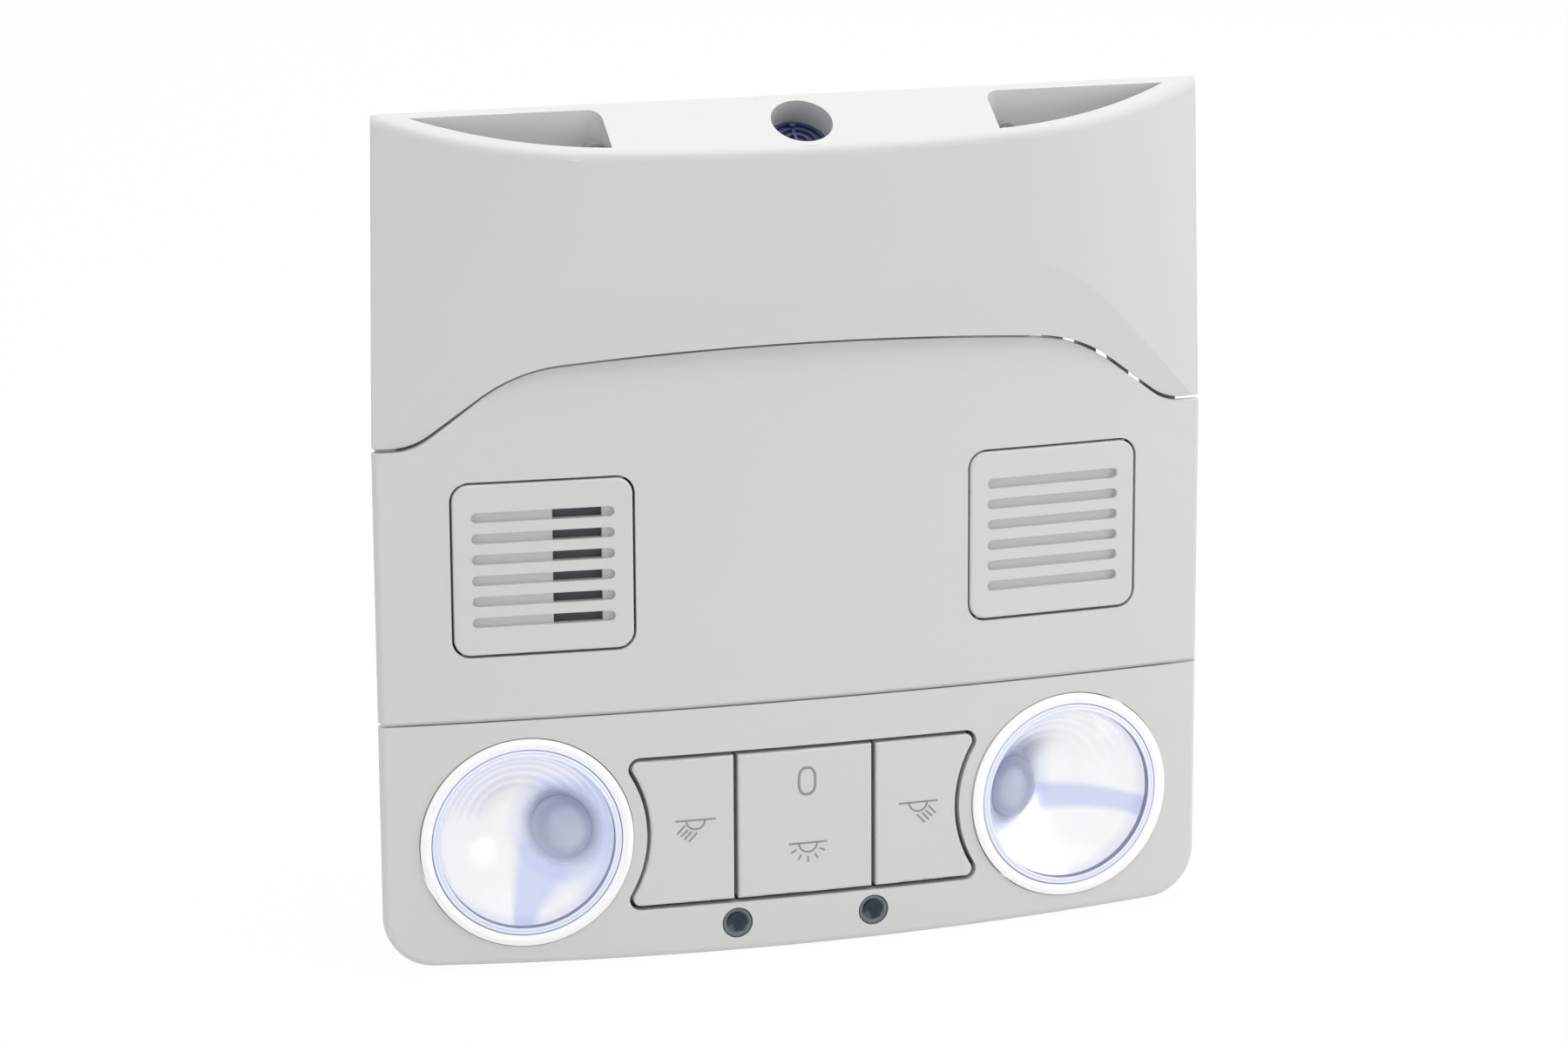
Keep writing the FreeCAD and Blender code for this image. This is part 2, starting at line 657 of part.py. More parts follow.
def build_centre_panel():
    low = dim.shut_gap / 2 - dim.seam_drop
    arch = arch_line(dim.shut_gap)
    foot = arch[0][1]
    outline = [(-half, low), (half, low), (half, foot), *arch, (-half, foot)]
    front = face_solid("panel_front", size(0))
    block = common("panel_block", from_lining("panel_outline", [outline], -far, 0), front)
    skin = cut("panel_skin", rounded_sides("panel_edges", block),
               face_solid("panel_back", dim.wall))
    extras, openings = [], []
    collar_wall = dim.grille_collar * 2 + dim.grille_gap * 2
    for side in (-1, 1):
        x = dim.grille_spacing / 2
        tag = mirrored_name("panel_grille", side)
        collar = from_lining(tag + "_collar", [rounded_box(
            x * side, 0, dim.grille_width + collar_wall, dim.grille_height + collar_wall,
            dim.grille_corner + collar_wall / 2)], -dim.face_height, 0)
        extras.append(collar)
        opening = prism(tag + "_opening", "XZ_Plane", [rounded_box(
            0, 0, dim.grille_width + dim.grille_gap * 2, dim.grille_height + dim.grille_gap * 2,
            dim.grille_corner + dim.grille_gap)], 0, far, middle=True)
        openings.append(on_face(opening, x, 0, side))
    screws = panel_screws()
    for number, (x, z) in enumerate(screws):
        extras.append(screw_boss(f"panel_boss_{number}", x, z, -dim.face_height))
    backing = common("panel_backing", face_solid("panel_inside", dim.wall / 2),
                     fused("panel_extras", *extras))
    pilots = [pilot_hole(f"panel_pilot_{number}", x, z) for number, (x, z) in enumerate(screws)]
    node("centre_panel", cut("centre_panel", fused("panel_whole", skin, backing), *openings, *pilots))


def bezel_outline(inset):
    """Outline of the lamp bezel, moved in by an inset at its sides and bottom."""
    side = half - inset
    corner = dim.corner_size
    low = inset - dim.bottom_drop
    curve = side - corner
    edge = low + dim.bottom_sag
    high = -dim.seam_drop - dim.shut_gap / 2
    return [(-curve, edge, arc_radius(curve, dim.bottom_sag), -1), (curve, edge, corner, -1),
            (side, edge + corner), (side, high), (-side, high), (-side, edge + corner, corner, -1)]


def switch_end(gap):
    """Where the concave end of the outer switches starts, and its radius, with a gap taken off."""
    radius = dim.ring_radius + dim.switch_arc_clearance + gap
    tall = dim.switch_height / 2 - gap
    return dim.lamp_spacing / 2 - root(radius * radius - tall * tall), radius


def switch_outline(part, gap):
    """Front outline of a switch: part is -1, 0 or 1 from left to right, gap is taken off all round."""
    low = -dim.lamp_drop - dim.switch_height / 2 + gap
    high = -dim.lamp_drop + dim.switch_height / 2 - gap
    inner = dim.rocker_width / 2
    if part == 0:
        return [(gap - inner, low), (inner - gap, low), (inner - gap, high), (gap - inner, high)]
    end, radius = switch_end(gap)
    near, away = (inner + gap) * part, end * part
    if part > 0:
        return [(near, low), (away, low, radius, 1), (away, high), (near, high)]
    return [(near, low), (near, high), (away, high, radius, 1), (away, low)]


def switch_bank_outline(margin):
    """Outline round all three switches, with a margin added."""
    low = -dim.lamp_drop - dim.switch_height / 2 - margin
    high = -dim.lamp_drop + dim.switch_height / 2 + margin
    end, radius = switch_end(-margin)
    return [(-end, low), (end, low, radius, 1), (end, high), (-end, high, radius, 1)]


def guide_hole(name, side):
    """Clearance hole round the light guide of a lamp window."""
    middle = dim.led_spacing / 2 * side
    radius = dim.led_radius + dim.lamp_clearance
    return from_lining(mirrored_name(name, side), [(middle, -dim.led_drop, radius)], -far, far)


def build_lamp_bezel():
    front = face_solid("bezel_front", size(0))
    plan = from_lining("bezel_outline", [bezel_outline(size(0))], -far, 0)
    block = common("bezel_block", plan, front)
    inside = bezel_outline(dim.wall)
    above = far
    inside[2:4] = [inside[2], (inside[2][0], above)]
    inside[4] = (inside[5][0], above)
    hollow = common("bezel_hollow", from_lining("bezel_inside", [inside], -far, far),
                    face_solid("bezel_back", dim.wall))
    tools = [hollow]
    for side in (-1, 1):
        hole = prism(mirrored_name("bezel_lamp", side), "XZ_Plane",
                     [(0, 0, dim.ring_radius + dim.lamp_clearance)], 0, far, middle=True)
        tools.append(on_face(hole, dim.lamp_spacing / 2, -dim.lamp_drop, side))
        tools.append(guide_hole("bezel_led", side))
    bank = from_lining("bezel_switches", [switch_bank_outline(dim.shut_gap / 2)], -far, far)
    tip_round = dim.cap_tip_round + dim.switch_gap + dim.shut_gap / 2
    tools.append(rounded("bezel_switch_tips", bank, tip_round, is_tip))
    bosses = [screw_boss(f"bezel_boss_{number}", x, z, -dim.face_height)
              for number, (x, z) in enumerate(bezel_screws())]
    backing = common("bezel_backing", face_solid("bezel_inner", dim.wall / 2),
                     fused("bezel_bosses", *bosses))
    pilots = [pilot_hole(f"bezel_pilot_{number}", x, z)
              for number, (x, z) in enumerate(bezel_screws())]
    skin = cut("bezel_skin", rounded_below("bezel_edges", block, -dim.seam_drop - dim.wall), *tools)
    node("lamp_bezel", cut("lamp_bezel", fused("bezel_whole", skin, backing), *pilots))


def lies_flat(points):
    """Whether points lie in the plane of a piece's own front."""
    return all(abs(point.y) < 0.01 for point in points)


def build_grilles():
    count = 6
    for side in (-1, 1):
        tag = mirrored_name("grille", side)
        outline = rounded_box(0, 0, dim.grille_width, dim.grille_height, dim.grille_corner)
        plate = prism(tag + "_plate", "XZ_Plane", [outline], -dim.grille_plate, dim.grille_plate)
        slots = []
        for number in range(count):
            z = dim.slot_pitch * (number - (count - 1) / 2)
            slots.append(prism(f"{tag}_slot_{number}", "XZ_Plane", [rounded_box(
                0, z, dim.slot_length, dim.slot_width, dim.slot_width * 0.49)],
                -dim.slot_depth, dim.slot_depth * 2))
            if side < 0:
                slots.append(prism(f"{tag}_open_{number}", "XZ_Plane", [box(
                    dim.open_slot_shift, z, dim.open_slot_length, dim.slot_width)],
                    -dim.grille_plate * 2, dim.grille_plate * 3))
        hooks = []
        reach = dim.grille_width / 2 - dim.grille_corner
        for hook_side in (-1, 1):
            for level in (-1, 1):
                hooks.append(prism(f"{tag}_hook_{hook_side + 1}_{level + 1}", "XZ_Plane", [box(
                    reach * hook_side, (dim.grille_height / 2 - dim.grille_collar / 2) * level,
                    dim.grille_corner, dim.grille_collar)], -dim.grille_plate * 2, dim.grille_plate * 1.5))
        soft = rounded(tag + "_soft", plate, dim.cap_edge_round, lies_flat)
        whole = fused(tag + "_whole", soft, *hooks)
        grille = cut(tag, whole, *slots)
        on_face(grille, dim.grille_spacing / 2, 0, side)
        node(tag, grille)


def build_microphone():
    """Capsule and foam ring behind the open slots of the left grille."""
    front = dim.grille_plate + dim.lamp_clearance
    middle = dim.open_slot_shift
    seal = prism("microphone_seal", "XZ_Plane",
                 [(middle, 0, dim.microphone_radius), (middle, 0, dim.microphone_radius / 2)],
                 -front - dim.seal_thickness, dim.seal_thickness)
    capsule = prism("microphone", "XZ_Plane", [(middle, 0, dim.microphone_radius)],
                    -front - dim.seal_thickness - dim.microphone_length, dim.microphone_length)
    for name, thing in (("microphone_seal", seal), ("microphone", capsule)):
        on_face(thing, dim.grille_spacing / 2, 0, -1)
        node(name, thing)


def bulb_direction(side):
    """Placement of a piece that lies along the bulb's tilted axis, from the bowl's centre."""
    centre = lens_back() + dim.bowl_depth - bowl_sphere()
    return centre, dim.bulb_tilt * side


def lens_back():
    return dim.ring_lip_depth - dim.ring_proud + dim.lens_flange + dim.lamp_clearance


def bowl_sphere():
    return arc_radius(dim.bowl_radius, dim.bowl_depth)


def along_bulb(name, loops, start, length, side):
    """Prism along the bulb's axis; start and length are measured from the bowl's centre."""
    thing = prism(name, "XZ_Plane", loops, -(size(start) + length), length)
    centre, tilt = bulb_direction(side)
    return place(thing, 0, centre, 0, tilt)


def flare_cone(name, side):
    """Cone that flares the bulb's opening where it meets the bowl."""
    sphere, wide, narrow = bowl_sphere(), dim.bulb_flare_radius, dim.bulb_port_radius
    mouth = root(sphere * sphere - wide * wide)
    widening = (wide - narrow) / dim.bulb_flare_depth
    start = mouth - dim.bulb_flare_depth
    cone = turned(name, [(0, start), (wide + widening * dim.bulb_flare_depth, start),
                         (narrow, mouth + dim.bulb_flare_depth), (0, mouth + dim.bulb_flare_depth)])
    centre, tilt = bulb_direction(side)
    return place(cone, 0, centre, 0, tilt)


def build_lamps():
    for side in (-1, 1):
        build_lamp(side)


def seat_lamp(name, thing, side):
    on_face(thing, dim.lamp_spacing / 2, -dim.lamp_drop, side)
    node(mirrored_name(name, side), thing)


def build_lamp(side):
    outer, lip = dim.ring_radius, dim.ring_radius - dim.ring_lip
    barrel = outer - dim.ring_wall
    front, seat = -dim.ring_proud, dim.ring_lip_depth - dim.ring_proud
    tag = mirrored_name("lamp", side)
    ring = turned(tag + "_ring", [
        (lip, front / 2), (lip + dim.ring_wall, front), (barrel, front), (outer, front / 2),
        (outer, dim.ring_depth), (barrel, dim.ring_depth), (barrel, seat), (lip, seat)])
    seat_lamp("lamp_ring", ring, side)

    flange = barrel - dim.lamp_clearance
    crown = lip - dim.lamp_clearance
    lens_end = seat + dim.lens_flange
    dome = arc_radius(crown, dim.lens_dome)
    lens = turned(tag + "_lens", [(0, lens_end), (0, seat - dim.lens_dome * 2, dome, -1),
                                  (crown, seat - dim.lens_dome), (crown, seat), (flange, seat),
                                  (flange, lens_end)])
    seat_lamp("lens", lens, side)

    mouth = lens_back()
    sphere = bowl_sphere()
    wall = dim.bowl_wall
    outside = sphere + wall
    mouth_outside = root(outside * outside - (sphere - dim.bowl_depth) * (sphere - dim.bowl_depth)
                         - (sphere - dim.bowl_depth) * wall * 2 - wall * wall)
    bowl = turned(tag + "_bowl", [
        (dim.bowl_radius, mouth), (flange, mouth), (flange, mouth + wall),
        (mouth_outside, mouth + wall, outside, -1), (0, mouth + dim.bowl_depth + wall),
        (0, mouth + dim.bowl_depth, sphere, 1)])
    neck_start = sphere - wall
    neck = along_bulb(tag + "_neck", [(0, 0, dim.bulb_port_radius + wall)], neck_start,
                      dim.bulb_port_length, side)
    bore = along_bulb(tag + "_bore", [(0, 0, dim.bulb_port_radius)], sphere / 2, sphere, side)
    inside = turned(tag + "_space", [
        (0, mouth - wall), (dim.bowl_radius, mouth - wall), (dim.bowl_radius, mouth, sphere, -1),
        (0, mouth + dim.bowl_depth)])
    flare = flare_cone(tag + "_flare", side)
    shell = cut(tag + "_shell", fused(tag + "_body", bowl, neck), inside, bore, flare)
    seat_lamp("reflector", shell, side)

    neck_end = neck_start + dim.bulb_port_length
    glass_end = neck_start + dim.bulb_port_length / 2
    grip = dim.bulb_port_radius - dim.lamp_clearance
    play = dim.lamp_clearance
    stub = along_bulb(tag + "_stub", [(0, 0, grip)], neck_start, dim.bulb_port_length, side)
    disc = along_bulb(tag + "_disc", [(0, 0, dim.holder_flange_radius)], neck_end, dim.holder_flange, side)
    knob = along_bulb(tag + "_knob", [rounded_box(0, 0, grip, grip * 2, grip * 0.4)],
                      neck_end + dim.holder_flange, dim.holder_length - dim.holder_flange, side)
    base_wide, base_thick = dim.bulb_radius * 1.4, dim.bulb_radius * 0.5
    base_length = dim.bulb_port_length / 2 + dim.holder_flange
    cavity = along_bulb(tag + "_cavity", [(0, 0, dim.bulb_radius + play)], neck_start - play,
                        glass_end - neck_start + play * 2, side)
    slot = along_bulb(tag + "_slot", [box(0, 0, base_thick + play * 2, base_wide + play * 2)], glass_end,
                      base_length + play, side)
    holder = cut(tag + "_holder", fused(tag + "_holder_body", stub, disc, knob), cavity, slot)
    seat_lamp("bulb_holder", holder, side)

    tip = glass_end - dim.bulb_length + dim.bulb_radius
    glass = along_bulb(tag + "_glass", [(0, 0, dim.bulb_radius)], tip, glass_end - tip, side)
    base = along_bulb(tag + "_base", [box(0, 0, base_thick, base_wide)], glass_end, base_length, side)
    centre = bulb_direction(side)[0]
    nose = doc.addObject("Part::Sphere", tag + "_nose")
    bind(nose, "Radius", dim.bulb_radius)
    place(nose, -sine(dim.bulb_tilt) * tip * side, centre + cosine(dim.bulb_tilt) * tip, 0)
    seat_lamp("bulb", fused(tag + "_bulb", glass, base, nose), side)


def is_tip(points):
    """Whether points lie on an upright corner edge at the outer end of the switches."""
    upright = all(abs(point.x - points[0].x) + abs(point.z - points[0].z) < 0.01 for point in points)
    return upright and abs(points[0].x) > dim.rocker_width.value


def cap_shell(name, part, back):
    """Hollow switch cap that follows the front face and is open at the back."""
    front = face_solid(name + "_face", size(0))
    plan = from_lining(name + "_outline", [switch_outline(part, dim.switch_gap)], -far, back)
    block = common(name + "_block", plan, front)
    if part:
        block = rounded(name + "_tips", block, dim.cap_tip_round, is_tip)
    block = rounded(name + "_edges", block, dim.cap_edge_round, on_front)
    inside = common(name + "_inside", from_lining(
        name + "_inner", [switch_outline(part, dim.switch_gap + dim.cap_wall)], -far, far),
        face_solid(name + "_inner_face", dim.cap_front))
    return block, inside


def cap_back():
    return dim.cap_depth - dim.face_height


def board_front():
    return dim.frame_depth + dim.lamp_clearance


def tact_front():
    return board_front() - dim.tact_height


def button_centre():
    return (dim.rocker_width / 2 + switch_end(size(0))[0]) / 2 - dim.cap_wall


def build_buttons():
    for side in (-1, 1):
        tag = mirrored_name("button", side)
        block, inside = cap_shell(tag, side, cap_back())
        stem_end = tact_front() - dim.button_travel - dim.lamp_clearance
        centre = button_centre() * side
        stem = from_lining(tag + "_stem", [(centre, -dim.lamp_drop, dim.plunger_radius * 1.6)],
                           dim.cap_front - dim.face_height, stem_end)
        button = fused(tag, cut(tag + "_shell", block, inside), stem)
        node(tag, button)
        plunger = from_lining(tag + "_plunger", [(centre, -dim.lamp_drop, dim.plunger_radius)],
                              stem_end, tact_front() + dim.button_travel / 2)
        node(mirrored_name("push_switch_plunger", side), plunger)
        body = from_lining(tag + "_tact", [box(centre, -dim.lamp_drop, dim.tact_size, dim.tact_size)],
                           tact_front(), board_front())
        play = dim.lamp_clearance
        hole = from_lining(tag + "_tact_hole", [(centre, -dim.lamp_drop, dim.plunger_radius + play)],
                           tact_front() - 1, tact_front() + dim.button_travel * 1.5 + play)
        node(mirrored_name("push_switch", side), cut(tag + "_tact_body", body, hole))


def build_rocker():
    block, inside = cap_shell("rocker", 0, cap_back())
    width = dim.rocker_width - dim.switch_gap * 2
    depth = dim.rocker_axis_depth
    z = -dim.lamp_drop
    cheeks = []
    for side in (-1, 1):
        cheek_x = (width / 2 - dim.cap_wall / 2) * side
        ear = prism(f"rocker_ear_{side + 1}", "YZ_Plane", [
            rounded_box((depth + dim.rocker_pin_radius * 2 - dim.cap_front) / 2, z,
                        depth + dim.rocker_pin_radius * 2 + dim.cap_front, dim.rocker_pin_radius * 4,
                        dim.rocker_pin_radius)], cheek_x - dim.cap_wall / 2, dim.cap_wall)
        level = z + dim.switch_height / 3 * side
        foot = from_lining(f"rocker_foot_{side + 1}", [(0, level, dim.plunger_radius * 1.4)],
                           dim.cap_front - dim.face_height, tact_front() - dim.tact_height / 3)
        cheeks += [ear, foot]
    bore = prism("rocker_bore", "YZ_Plane", [(depth, z, dim.rocker_pin_radius + dim.pin_clearance)],
                 0, width * 2, middle=True)
    shell = fused("rocker_shell", cut("rocker_walls", block, inside), *cheeks)
    node("rocker", cut("rocker", shell, bore))
    tacts = []
    for side in (-1, 1):
        level = z + dim.switch_height / 3 * side
        body = from_lining(f"mode_tact_{side + 1}", [box(0, level, dim.tact_size, dim.tact_size)],
                           tact_front(), board_front())
        pin = from_lining(f"mode_pin_{side + 1}", [(0, level, dim.plunger_radius)],
                          tact_front() - dim.plunger_radius / 4, tact_front() + 1)
        tacts += [body, pin]
    node("mode_switches", fused("mode_switches", *tacts))


def build_switch_frame():
    """Open frame round the three switches, with partitions that carry the rocker's pins."""
    z = -dim.lamp_drop
    margin = dim.frame_clearance + dim.frame_wall
    outer = from_lining("frame_outer", [switch_bank_outline(margin)], dim.plate_thickness, dim.frame_depth)
    inside = from_lining("frame_inside", [switch_bank_outline(dim.frame_clearance)], -far, far)
    inner = dim.rocker_width / 2 - dim.switch_gap + dim.frame_clearance
    thick = dim.frame_wall
    partition_front = cap_back() + dim.button_travel + dim.lamp_clearance
    height = dim.switch_height + dim.frame_clearance * 2 + dim.frame_wall
    partitions = []
    for side in (-1, 1):
        outline = box((inner + thick / 2) * side, z, thick, height)
        partitions.append(from_lining(f"frame_partition_{side + 1}", [outline], partition_front,
                                      dim.frame_depth))
        reach = dim.rocker_pin_length + thick / 2
        start = inner - dim.rocker_pin_length if side > 0 else -inner - thick / 2
        partitions.append(prism(f"frame_pin_{side + 1}", "YZ_Plane",
                                [(dim.rocker_axis_depth, z, dim.rocker_pin_radius)], start, reach))
    guides = [guide_hole("frame_guide", side) for side in (-1, 1)]
    lip = from_lining("frame_lip", [switch_bank_outline(margin), switch_bank_outline(-dim.frame_lip)],
                      partition_front, partition_front + dim.frame_wall)
    walls = fused("frame_walls", cut("frame_shell", outer, inside), lip, *partitions)
    node("switch_frame", cut("switch_frame", walls, *guides))


def plate_outline(inset):
    wide, neck = dim.plate_half_width - inset, dim.plate_neck_half - inset
    low, shoulder, high = inset - dim.plate_low, dim.plate_shoulder - inset, dim.plate_high - inset
    r = dim.plate_corner
    return [
        (r - wide, low), (wide - r, low, r, -1), (wide, low + r), (wide, shoulder - r, r, -1),
        (wide - r, shoulder), (neck + r, shoulder, r, 1), (neck, shoulder + r), (neck, high - r, r, -1),
        (neck - r, high), (r - neck, high, r, -1), (-neck, high - r), (-neck, shoulder + r, r, 1),
        (-neck - r, shoulder), (r - wide, shoulder, r, -1), (-wide, shoulder - r), (-wide, low + r, r, -1),
    ]


def build_carrier():
    """Carrier plate with a stiffening rim, windows for lamps and switches, and screw holes."""
    plate = from_lining("carrier_plate", [plate_outline(size(0))], 0, dim.plate_thickness)
    rim = from_lining("carrier_rim", [plate_outline(size(0)), plate_outline(dim.rim_wall)],
                      0, dim.rim_height)
    posts = [from_lining(f"carrier_post_{number}", [(x, level, dim.boss_radius)], 0, board_front())
             for number, (x, level) in enumerate(hood_screws())]
    tools = []
    z = -dim.lamp_drop
    for side in (-1, 1):
        hole = prism(mirrored_name("carrier_lamp", side), "XZ_Plane",
                     [(0, 0, dim.ring_radius + dim.lamp_clearance * 2)], -far, far)
        tools.append(on_face(hole, dim.lamp_spacing / 2, z, side))
        slot = along_bulb(mirrored_name("carrier_port", side), [(0, 0, dim.holder_flange_radius + 1)],
                          dim.bulb_port_radius, far / 4, side)
        port = doc.addObject("Part::Compound", mirrored_name("carrier_port_tool", side))
        port.Links = [slot]
        tools.append(on_face(port, dim.lamp_spacing / 2, z, side))
        roof_hole = (dim.screw_spacing / 2 * side, 0, dim.screw_hole_radius)
        tools.append(from_lining(mirrored_name("carrier_roof", side), [roof_hole], -far, far))
        tools.append(guide_hole("carrier_led", side))
    tools.append(from_lining("carrier_switches", [switch_bank_outline(dim.frame_clearance)], -far, far))
    for number in range(4):
        level = dim.plate_shoulder - dim.harness_inset - dim.harness_height / 2
        slot = box(dim.harness_first + dim.harness_pitch * number, level,
                   dim.harness_width, dim.harness_height)
        tools.append(from_lining(f"carrier_slot_{number}", [slot], -far, far))
    play = dim.lamp_clearance
    sound_hole = (dim.open_slot_shift - dim.grille_spacing / 2, 0, dim.microphone_radius + play * 3)
    tools.append(from_lining("carrier_microphone", [sound_hole], -far, far))
    for number, (x, level) in enumerate(moulding_screws()):
        shank = (x, level, dim.screw_radius + play)
        tools.append(from_lining(f"carrier_screw_{number}", [shank], -far, far))
        tools.append(from_lining(f"carrier_head_{number}", [(x, level, dim.screw_head_radius + play)],
                                 dim.plate_thickness, far))
    for number, (x, level) in enumerate(hood_screws()):
        tools.append(from_lining(f"carrier_pilot_{number}", [(x, level, dim.pilot_radius)],
                                 dim.plate_thickness, far))
    node("carrier", cut("carrier", fused("carrier_whole", plate, rim, *posts), *tools))


def moulding_screws():
    return cover_screws() + panel_screws() + bezel_screws()


def cross_recesses(name, places, back):
    """Crossed slots for a screwdriver in heads that end at a given depth."""
    arms = []
    long, narrow = dim.recess_length, dim.recess_width
    for number, (x, z) in enumerate(places):
        for turn, (width, height) in enumerate(((long, narrow), (narrow, long))):
            arms.append(from_lining(f"{name}_recess_{number}_{turn}", [box(x, z, width, height)],
                                    back - dim.recess_depth, back + dim.recess_depth))
    return arms


def build_screws():
    screws = []
    for number, (x, z) in enumerate(moulding_screws()):
        shank = from_lining(f"screw_shank_{number}", [(x, z, dim.screw_radius - dim.lamp_clearance / 4)],
                            dim.plate_thickness - dim.screw_length, dim.plate_thickness)
        head = from_lining(f"screw_head_{number}", [(x, z, dim.screw_head_radius)],
                           dim.plate_thickness, dim.plate_thickness + dim.screw_head)
        screws += [shank, head]
    back = dim.plate_thickness + dim.screw_head
    recesses = cross_recesses("screw", moulding_screws(), back)
    node("moulding_screws", cut("moulding_screws", fused("screw_blanks", *screws), *recesses))


def hood_screws():
    x = dim.board_half_width - dim.boss_radius
    high, low = dim.board_high - dim.boss_radius * 3, -dim.seam_drop + dim.boss_radius
    return [(x, high), (-x, high), (x, low), (-x, low)]


def board_back():
    return board_front() + dim.board_thickness


def build_board():
    low, high = -dim.board_low, dim.board_high
    tools = []
    board = from_lining("board_plate", [box(0, (low + high) / 2, dim.board_half_width * 2, high - low)],
                        board_front(), board_back())
    for number, (x, z) in enumerate(hood_screws()):
        hole = (x, z, dim.screw_radius + dim.lamp_clearance)
        tools.append(from_lining(f"board_hole_{number}", [hole], -far, far))
    node("circuit_board", cut("circuit_board", board, *tools))
    lamps = []
    for side in (-1, 1):
        x = dim.led_spacing / 2 * side
        lamp_front = board_front() - dim.led_height
        head = from_lining(mirrored_name("window_head", side), [(x, -dim.led_drop, dim.led_radius)],
                           -far, dim.led_head - dim.face_height)
        stem = from_lining(mirrored_name("window_stem", side), [(x, -dim.led_drop, dim.led_stem_radius)],
                           dim.led_head / 2 - dim.face_height, lamp_front - dim.lamp_clearance)
        face = face_solid(mirrored_name("window_face", side), size(0))
        visible = common(mirrored_name("window_lens", side), head, face)
        node(mirrored_name("led_window", side), fused(mirrored_name("led_window", side), visible, stem))
        outline = box(x, -dim.led_drop, dim.led_size, dim.led_size)
        lamps.append(from_lining(mirrored_name("board_lamp", side), [outline], lamp_front, board_front()))
    node("ambient_lamps", fused("ambient_lamps", *lamps))


def build_hood():
    """Rear hood over the board: an open-bottomed shell with screw columns and a connector cut-out."""
    wall, margin = dim.hood_wall, dim.hood_margin
    low, high = -dim.board_low, dim.board_high
    middle, tall = (low + high) / 2, high - low
    wide = dim.board_half_width * 2
    corner = dim.plate_corner
    outer = from_lining("hood_outer", [rounded_box(0, middle, wide + (wall + margin) * 2,
                                                   tall + (wall + margin) * 2, corner / 2)],
                        board_front(), dim.hood_height)
    room = rounded_box(0, middle, wide + margin * 2, tall + margin * 2, corner / 4)
    inner = from_lining("hood_inner", [room], 0, dim.hood_height - wall)
    columns, holes = [], []
    for number, (x, z) in enumerate(hood_screws()):
        columns.append(from_lining(f"hood_column_{number}", [(x, z, dim.boss_radius)],
                                   board_back(), dim.hood_height))
        hole = (x, z, dim.screw_radius + dim.lamp_clearance)
        holes.append(from_lining(f"hood_hole_{number}", [hole], -far, far))
    gap = dim.lamp_clearance * 2
    exit_cut = from_lining("hood_exit", [box(0, high + wall, dim.socket_width + gap, wall * 6)],
                           0, board_back() + dim.socket_depth + dim.lamp_clearance)
    ribs = []
    for number in range(3):
        z = middle + tall / 5 * (number - 1.5)
        ribs.append(from_lining(f"hood_rib_{number}", [box(0, z, wide * 0.8, wall * 0.7)],
                                dim.hood_height - wall / 2, dim.hood_height + wall * 0.6))
    shell = cut("hood_shell", outer, inner, exit_cut)
    node("rear_hood", cut("rear_hood", fused("hood_whole", shell, *columns, *ribs), *holes))

    screws = []
    for number, (x, z) in enumerate(hood_screws()):
        shank = from_lining(f"hood_shank_{number}", [(x, z, dim.screw_radius - dim.lamp_clearance / 4)],
                            dim.plate_thickness + dim.screw_head, dim.hood_height)
        head = from_lining(f"hood_head_{number}", [(x, z, dim.screw_head_radius)],
                           dim.hood_height, dim.hood_height + dim.screw_head)
        screws += [shank, head]
    recesses = cross_recesses("hood", hood_screws(), dim.hood_height + dim.screw_head)
    node("hood_screws", cut("hood_screws", fused("hood_screw_blanks", *screws), *recesses))


def build_connector():
    """Plug socket on the board, open towards the windscreen, with a row of contacts."""
    back = board_back()
    mouth = dim.board_high + dim.hood_margin + dim.hood_wall + dim.socket_wall
    middle = mouth - dim.socket_height / 2
    block = from_lining("socket_block", [box(0, middle, dim.socket_width, dim.socket_height)],
                        back, back + dim.socket_depth)
    wall = dim.socket_wall
    centre = back + dim.socket_depth / 2
    outline = box(0, centre, dim.socket_width - wall * 2, dim.socket_depth - wall * 2)
    room = prism("socket_room", "XY_Plane", [outline], mouth - dim.socket_height + wall * 2, far)
    key = prism("socket_key", "XY_Plane", [box(0, back + dim.socket_depth, wall * 2, wall * 2)],
                mouth - dim.socket_height / 2, far)
    count = int(dim.contact_count.value)
    contacts, holes = [], []
    for number in range(count):
        x = dim.contact_pitch * (number - (count - 1) / 2)
        outline = box(x, centre, dim.contact_size, dim.contact_size)
        start = mouth - dim.socket_height + wall
        contacts.append(prism(f"contact_{number}", "XY_Plane", [outline], start,
                              dim.socket_height / 2 - wall))
        holes.append(prism(f"contact_hole_{number}", "XY_Plane", [outline], start, wall * 2))
    node("connector", cut("connector", block, room, key, *holes))
    node("contacts", fused("contacts", *contacts))


def build_clips():
    """Hairpin spring clips that stand in the pockets beside their inner walls."""
    floor = dim.cover_top - dim.pocket_depth
    sheet, spread = dim.clip_sheet, dim.clip_spread
    bend = spread / 2
    for side in (-1, 1):
        near = (dim.pocket_inner_half + dim.lamp_clearance) * side
        top = floor + dim.clip_height - bend
        step = sheet * side
        outer = (spread + sheet * 2) * side
        turn = side
        corners = [
            (near, floor), (near, top, bend + sheet, turn), (near + outer, top),
            (near + outer, top - spread), (near + outer - step, top - spread),
            (near + outer - step, top, bend, -turn), (near + step, top), (near + step, floor),
        ]
        clip = prism(mirrored_name("retaining_clip", side), "XZ_Plane", [corners],
                     dim.clip_inset - dim.clip_width, dim.clip_width)
        node(mirrored_name("retaining_clip", side), clip)


